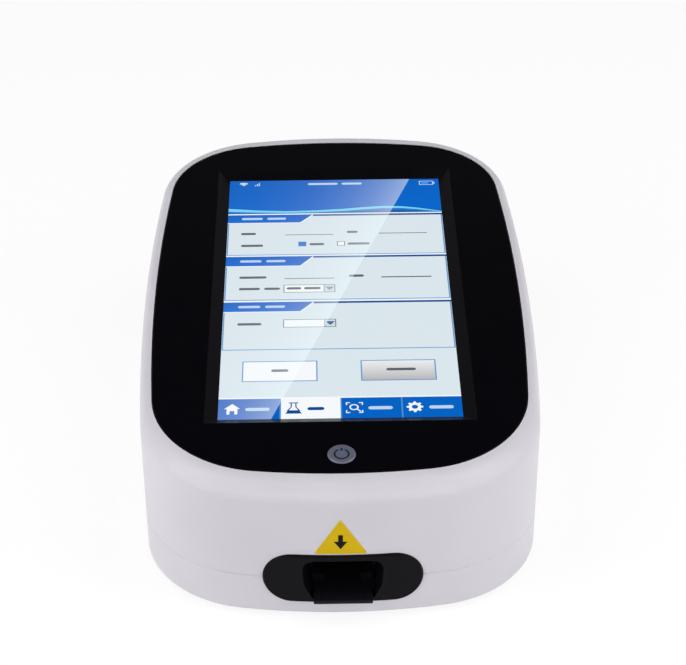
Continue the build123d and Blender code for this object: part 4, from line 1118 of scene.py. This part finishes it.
class ReaderBoardParts(bpy.types.Operator):
    """Sets rows of small parts on the main board"""

    bl_idname = "reader.board_parts"
    bl_label = "Board Parts"

    def execute(self, context):
        low, high = (Vector(corner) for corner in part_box("main_board"))
        tree, part = part_tree(), chip_part()
        finish = moulded("chip_ceramic", (0.20, 0.15, 0.10), 0.4, grain=0.01)
        buzzer_left, buzzer_half = 24 * MM, 9 * MM
        columns = [(19.5 + 4.2 * column) * MM for column in range(4)]
        rows = []
        for side in (-1, 1):
            for column in columns:
                for row in range(9):
                    x, y = side * column, low.y + (14.0 + 3.6 * row) * MM
                    over = abs(y - middle("buzzer").y) < buzzer_half
                    if not (x > buzzer_left and over):
                        rows.append((x, y, high.z))
        values = {"Part": part, "Length": 2.4 * MM, "Seed": 3, "Finish": finish}
        set_out("board_small_parts", rows, tree, values, finish, CASE)
        bpy.data.objects.remove(part)
        return {"FINISHED"}


# ---- Studio ----


def lamp(name, place, width, height, power, shade):
    data = bpy.data.lights.new(name, "AREA")
    data.shape, data.size, data.size_y = "RECTANGLE", width, height
    data.energy, data.color = power, shade
    thing = add(name, data)
    thing.location = place
    way = Vector(AIM) - Vector(place)
    thing.rotation_euler = way.to_track_quat("-Z", "Y").to_euler()


def floor_finish():
    """Near-white paper that shows white to the camera and keeps the object's shadow."""
    finish = Finish(
        "floor_paper", base_color=(0.94, 0.94, 0.94), roughness=0.9, specular_ior_level=0.1,
    )
    camera, glossy, through = (
        finish.node("ShaderNodeLightPath", output=f"Is {ray} Ray")
        for ray in ("Camera", "Glossy", "Transmission")
    )
    seen = camera.math("MAXIMUM", glossy).math("MAXIMUM", through)
    white = finish.node("ShaderNodeEmission", {}, {"Strength": 1.1})
    paper = Wire(finish, finish.shader.outputs[0])
    mixed = finish.node("ShaderNodeMixShader", {}, {0: seen * 0.76, 1: paper, 2: white})
    finish.plug(finish.surface, mixed)
    return finish.material


def sky():
    """Pale near the horizon and dim overhead, so that the black panel stays black."""
    world = bpy.data.worlds.new("studio")
    bpy.context.scene.world = world
    world.use_nodes = True
    made = Wiring(world.node_tree)
    way = made.node("ShaderNodeTexCoord", output="Generated")
    climb = made.axis(way, "Z").ramp(0.12, 0.74, 0.80, 0.02)
    spread = made.axis(way, "X").math("ABSOLUTE").ramp(0.15, 0.85, 0.45, 1.0)
    ground = world.node_tree.nodes["Background"].inputs
    made.plug(ground["Strength"], climb * spread)
    made.plug(ground["Color"], (0.97, 0.98, 1.0))


AIM = (0.0, 0.0, 0.05)
# name, place, width, height, watts and colour of each lamp
LAMPS = (
    ("left_box", (-1.2, -0.6, 0.75), 1.0, 1.0, 5.3, (1.0, 1.0, 1.0)),
    ("right_box", (1.25, -0.5, 0.75), 1.0, 1.0, 5.1, (1.0, 1.0, 1.0)),
    ("front_box", (0.0, -1.15, 0.75), 1.2, 0.6, 2.5, (0.98, 0.97, 1.0)),
    ("top_box", (-0.75, -0.1, 1.5), 0.6, 0.8, 5.4, (0.99, 0.98, 1.0)),
    ("top_box", (0.75, -0.1, 1.5), 0.6, 0.8, 5.4, (0.99, 0.98, 1.0)),
)


class ReaderStage(bpy.types.Operator):
    """Lays the floor, hangs the lamps and sets up the camera"""

    bl_idname = "reader.stage"
    bl_label = "Studio"

    def execute(self, context):
        look, scene = context.scene.reader_stage, context.scene
        scene.view_settings.view_transform = "Standard"
        data = bpy.data.cameras.new("camera")
        data.lens, data.sensor_width = look.lens, 36.0
        data.clip_start, data.clip_end = 0.01, 60.0
        camera = add("camera", data)
        camera.location = look.place
        turn = Vector(look.view).to_track_quat("-Z", "Y")
        camera.rotation_mode = "QUATERNION"
        camera.rotation_quaternion = turn @ Quaternion((0.0, 0.0, 1.0), look.roll)
        scene.camera = camera
        shape = bmesh.new()
        reach = look.floor
        corners = ((-reach, -reach), (reach, -reach), (reach, reach), (-reach, reach))
        shape.faces.new([shape.verts.new((x, y, 0.0)) for x, y in corners])
        floor = add("floor", mesh_from("floor", shape))
        dress(floor, floor_finish())
        sky()
        for values in LAMPS:
            lamp(*values)
        return {"FINISHED"}


# ---- Panel and run ----

STEPS = (
    ReaderStage, ReaderCase, ReaderPage, ReaderButton, ReaderFront, ReaderInside, ReaderScrews,
    ReaderBoardParts,
)


class ReaderPanel(bpy.types.Panel):
    """Lists the steps that dress the reader"""

    bl_idname = "VIEW3D_PT_reader"
    bl_label = "Rapid Test Reader"
    bl_space_type = "VIEW_3D"
    bl_region_type = "UI"
    bl_category = "Reader"

    def draw(self, context):
        for step in STEPS:
            self.layout.operator(step.bl_idname)
        for name in ("reader_case", "reader_page", "reader_stage"):
            look = getattr(context.scene, name)
            box = self.layout.box()
            for field in look.bl_rna.properties:
                if field.identifier not in ("rna_type", "name"):
                    box.prop(look, field.identifier)


LOOKS = {"reader_case": CaseLook, "reader_page": PageLook, "reader_stage": StageLook}


def register():
    for kind in (*LOOKS.values(), *STEPS, ReaderPanel):
        bpy.utils.register_class(kind)
    for name, kind in LOOKS.items():
        setattr(bpy.types.Scene, name, PointerProperty(type=kind))


def unregister():
    for name in LOOKS:
        delattr(bpy.types.Scene, name)
    for kind in (ReaderPanel, *STEPS, *LOOKS.values()):
        bpy.utils.unregister_class(kind)


def main():
    register()
    for step in STEPS:
        group, _, call = step.bl_idname.partition(".")
        getattr(getattr(bpy.ops, group), call)()


if __name__ == "__main__":
    main()
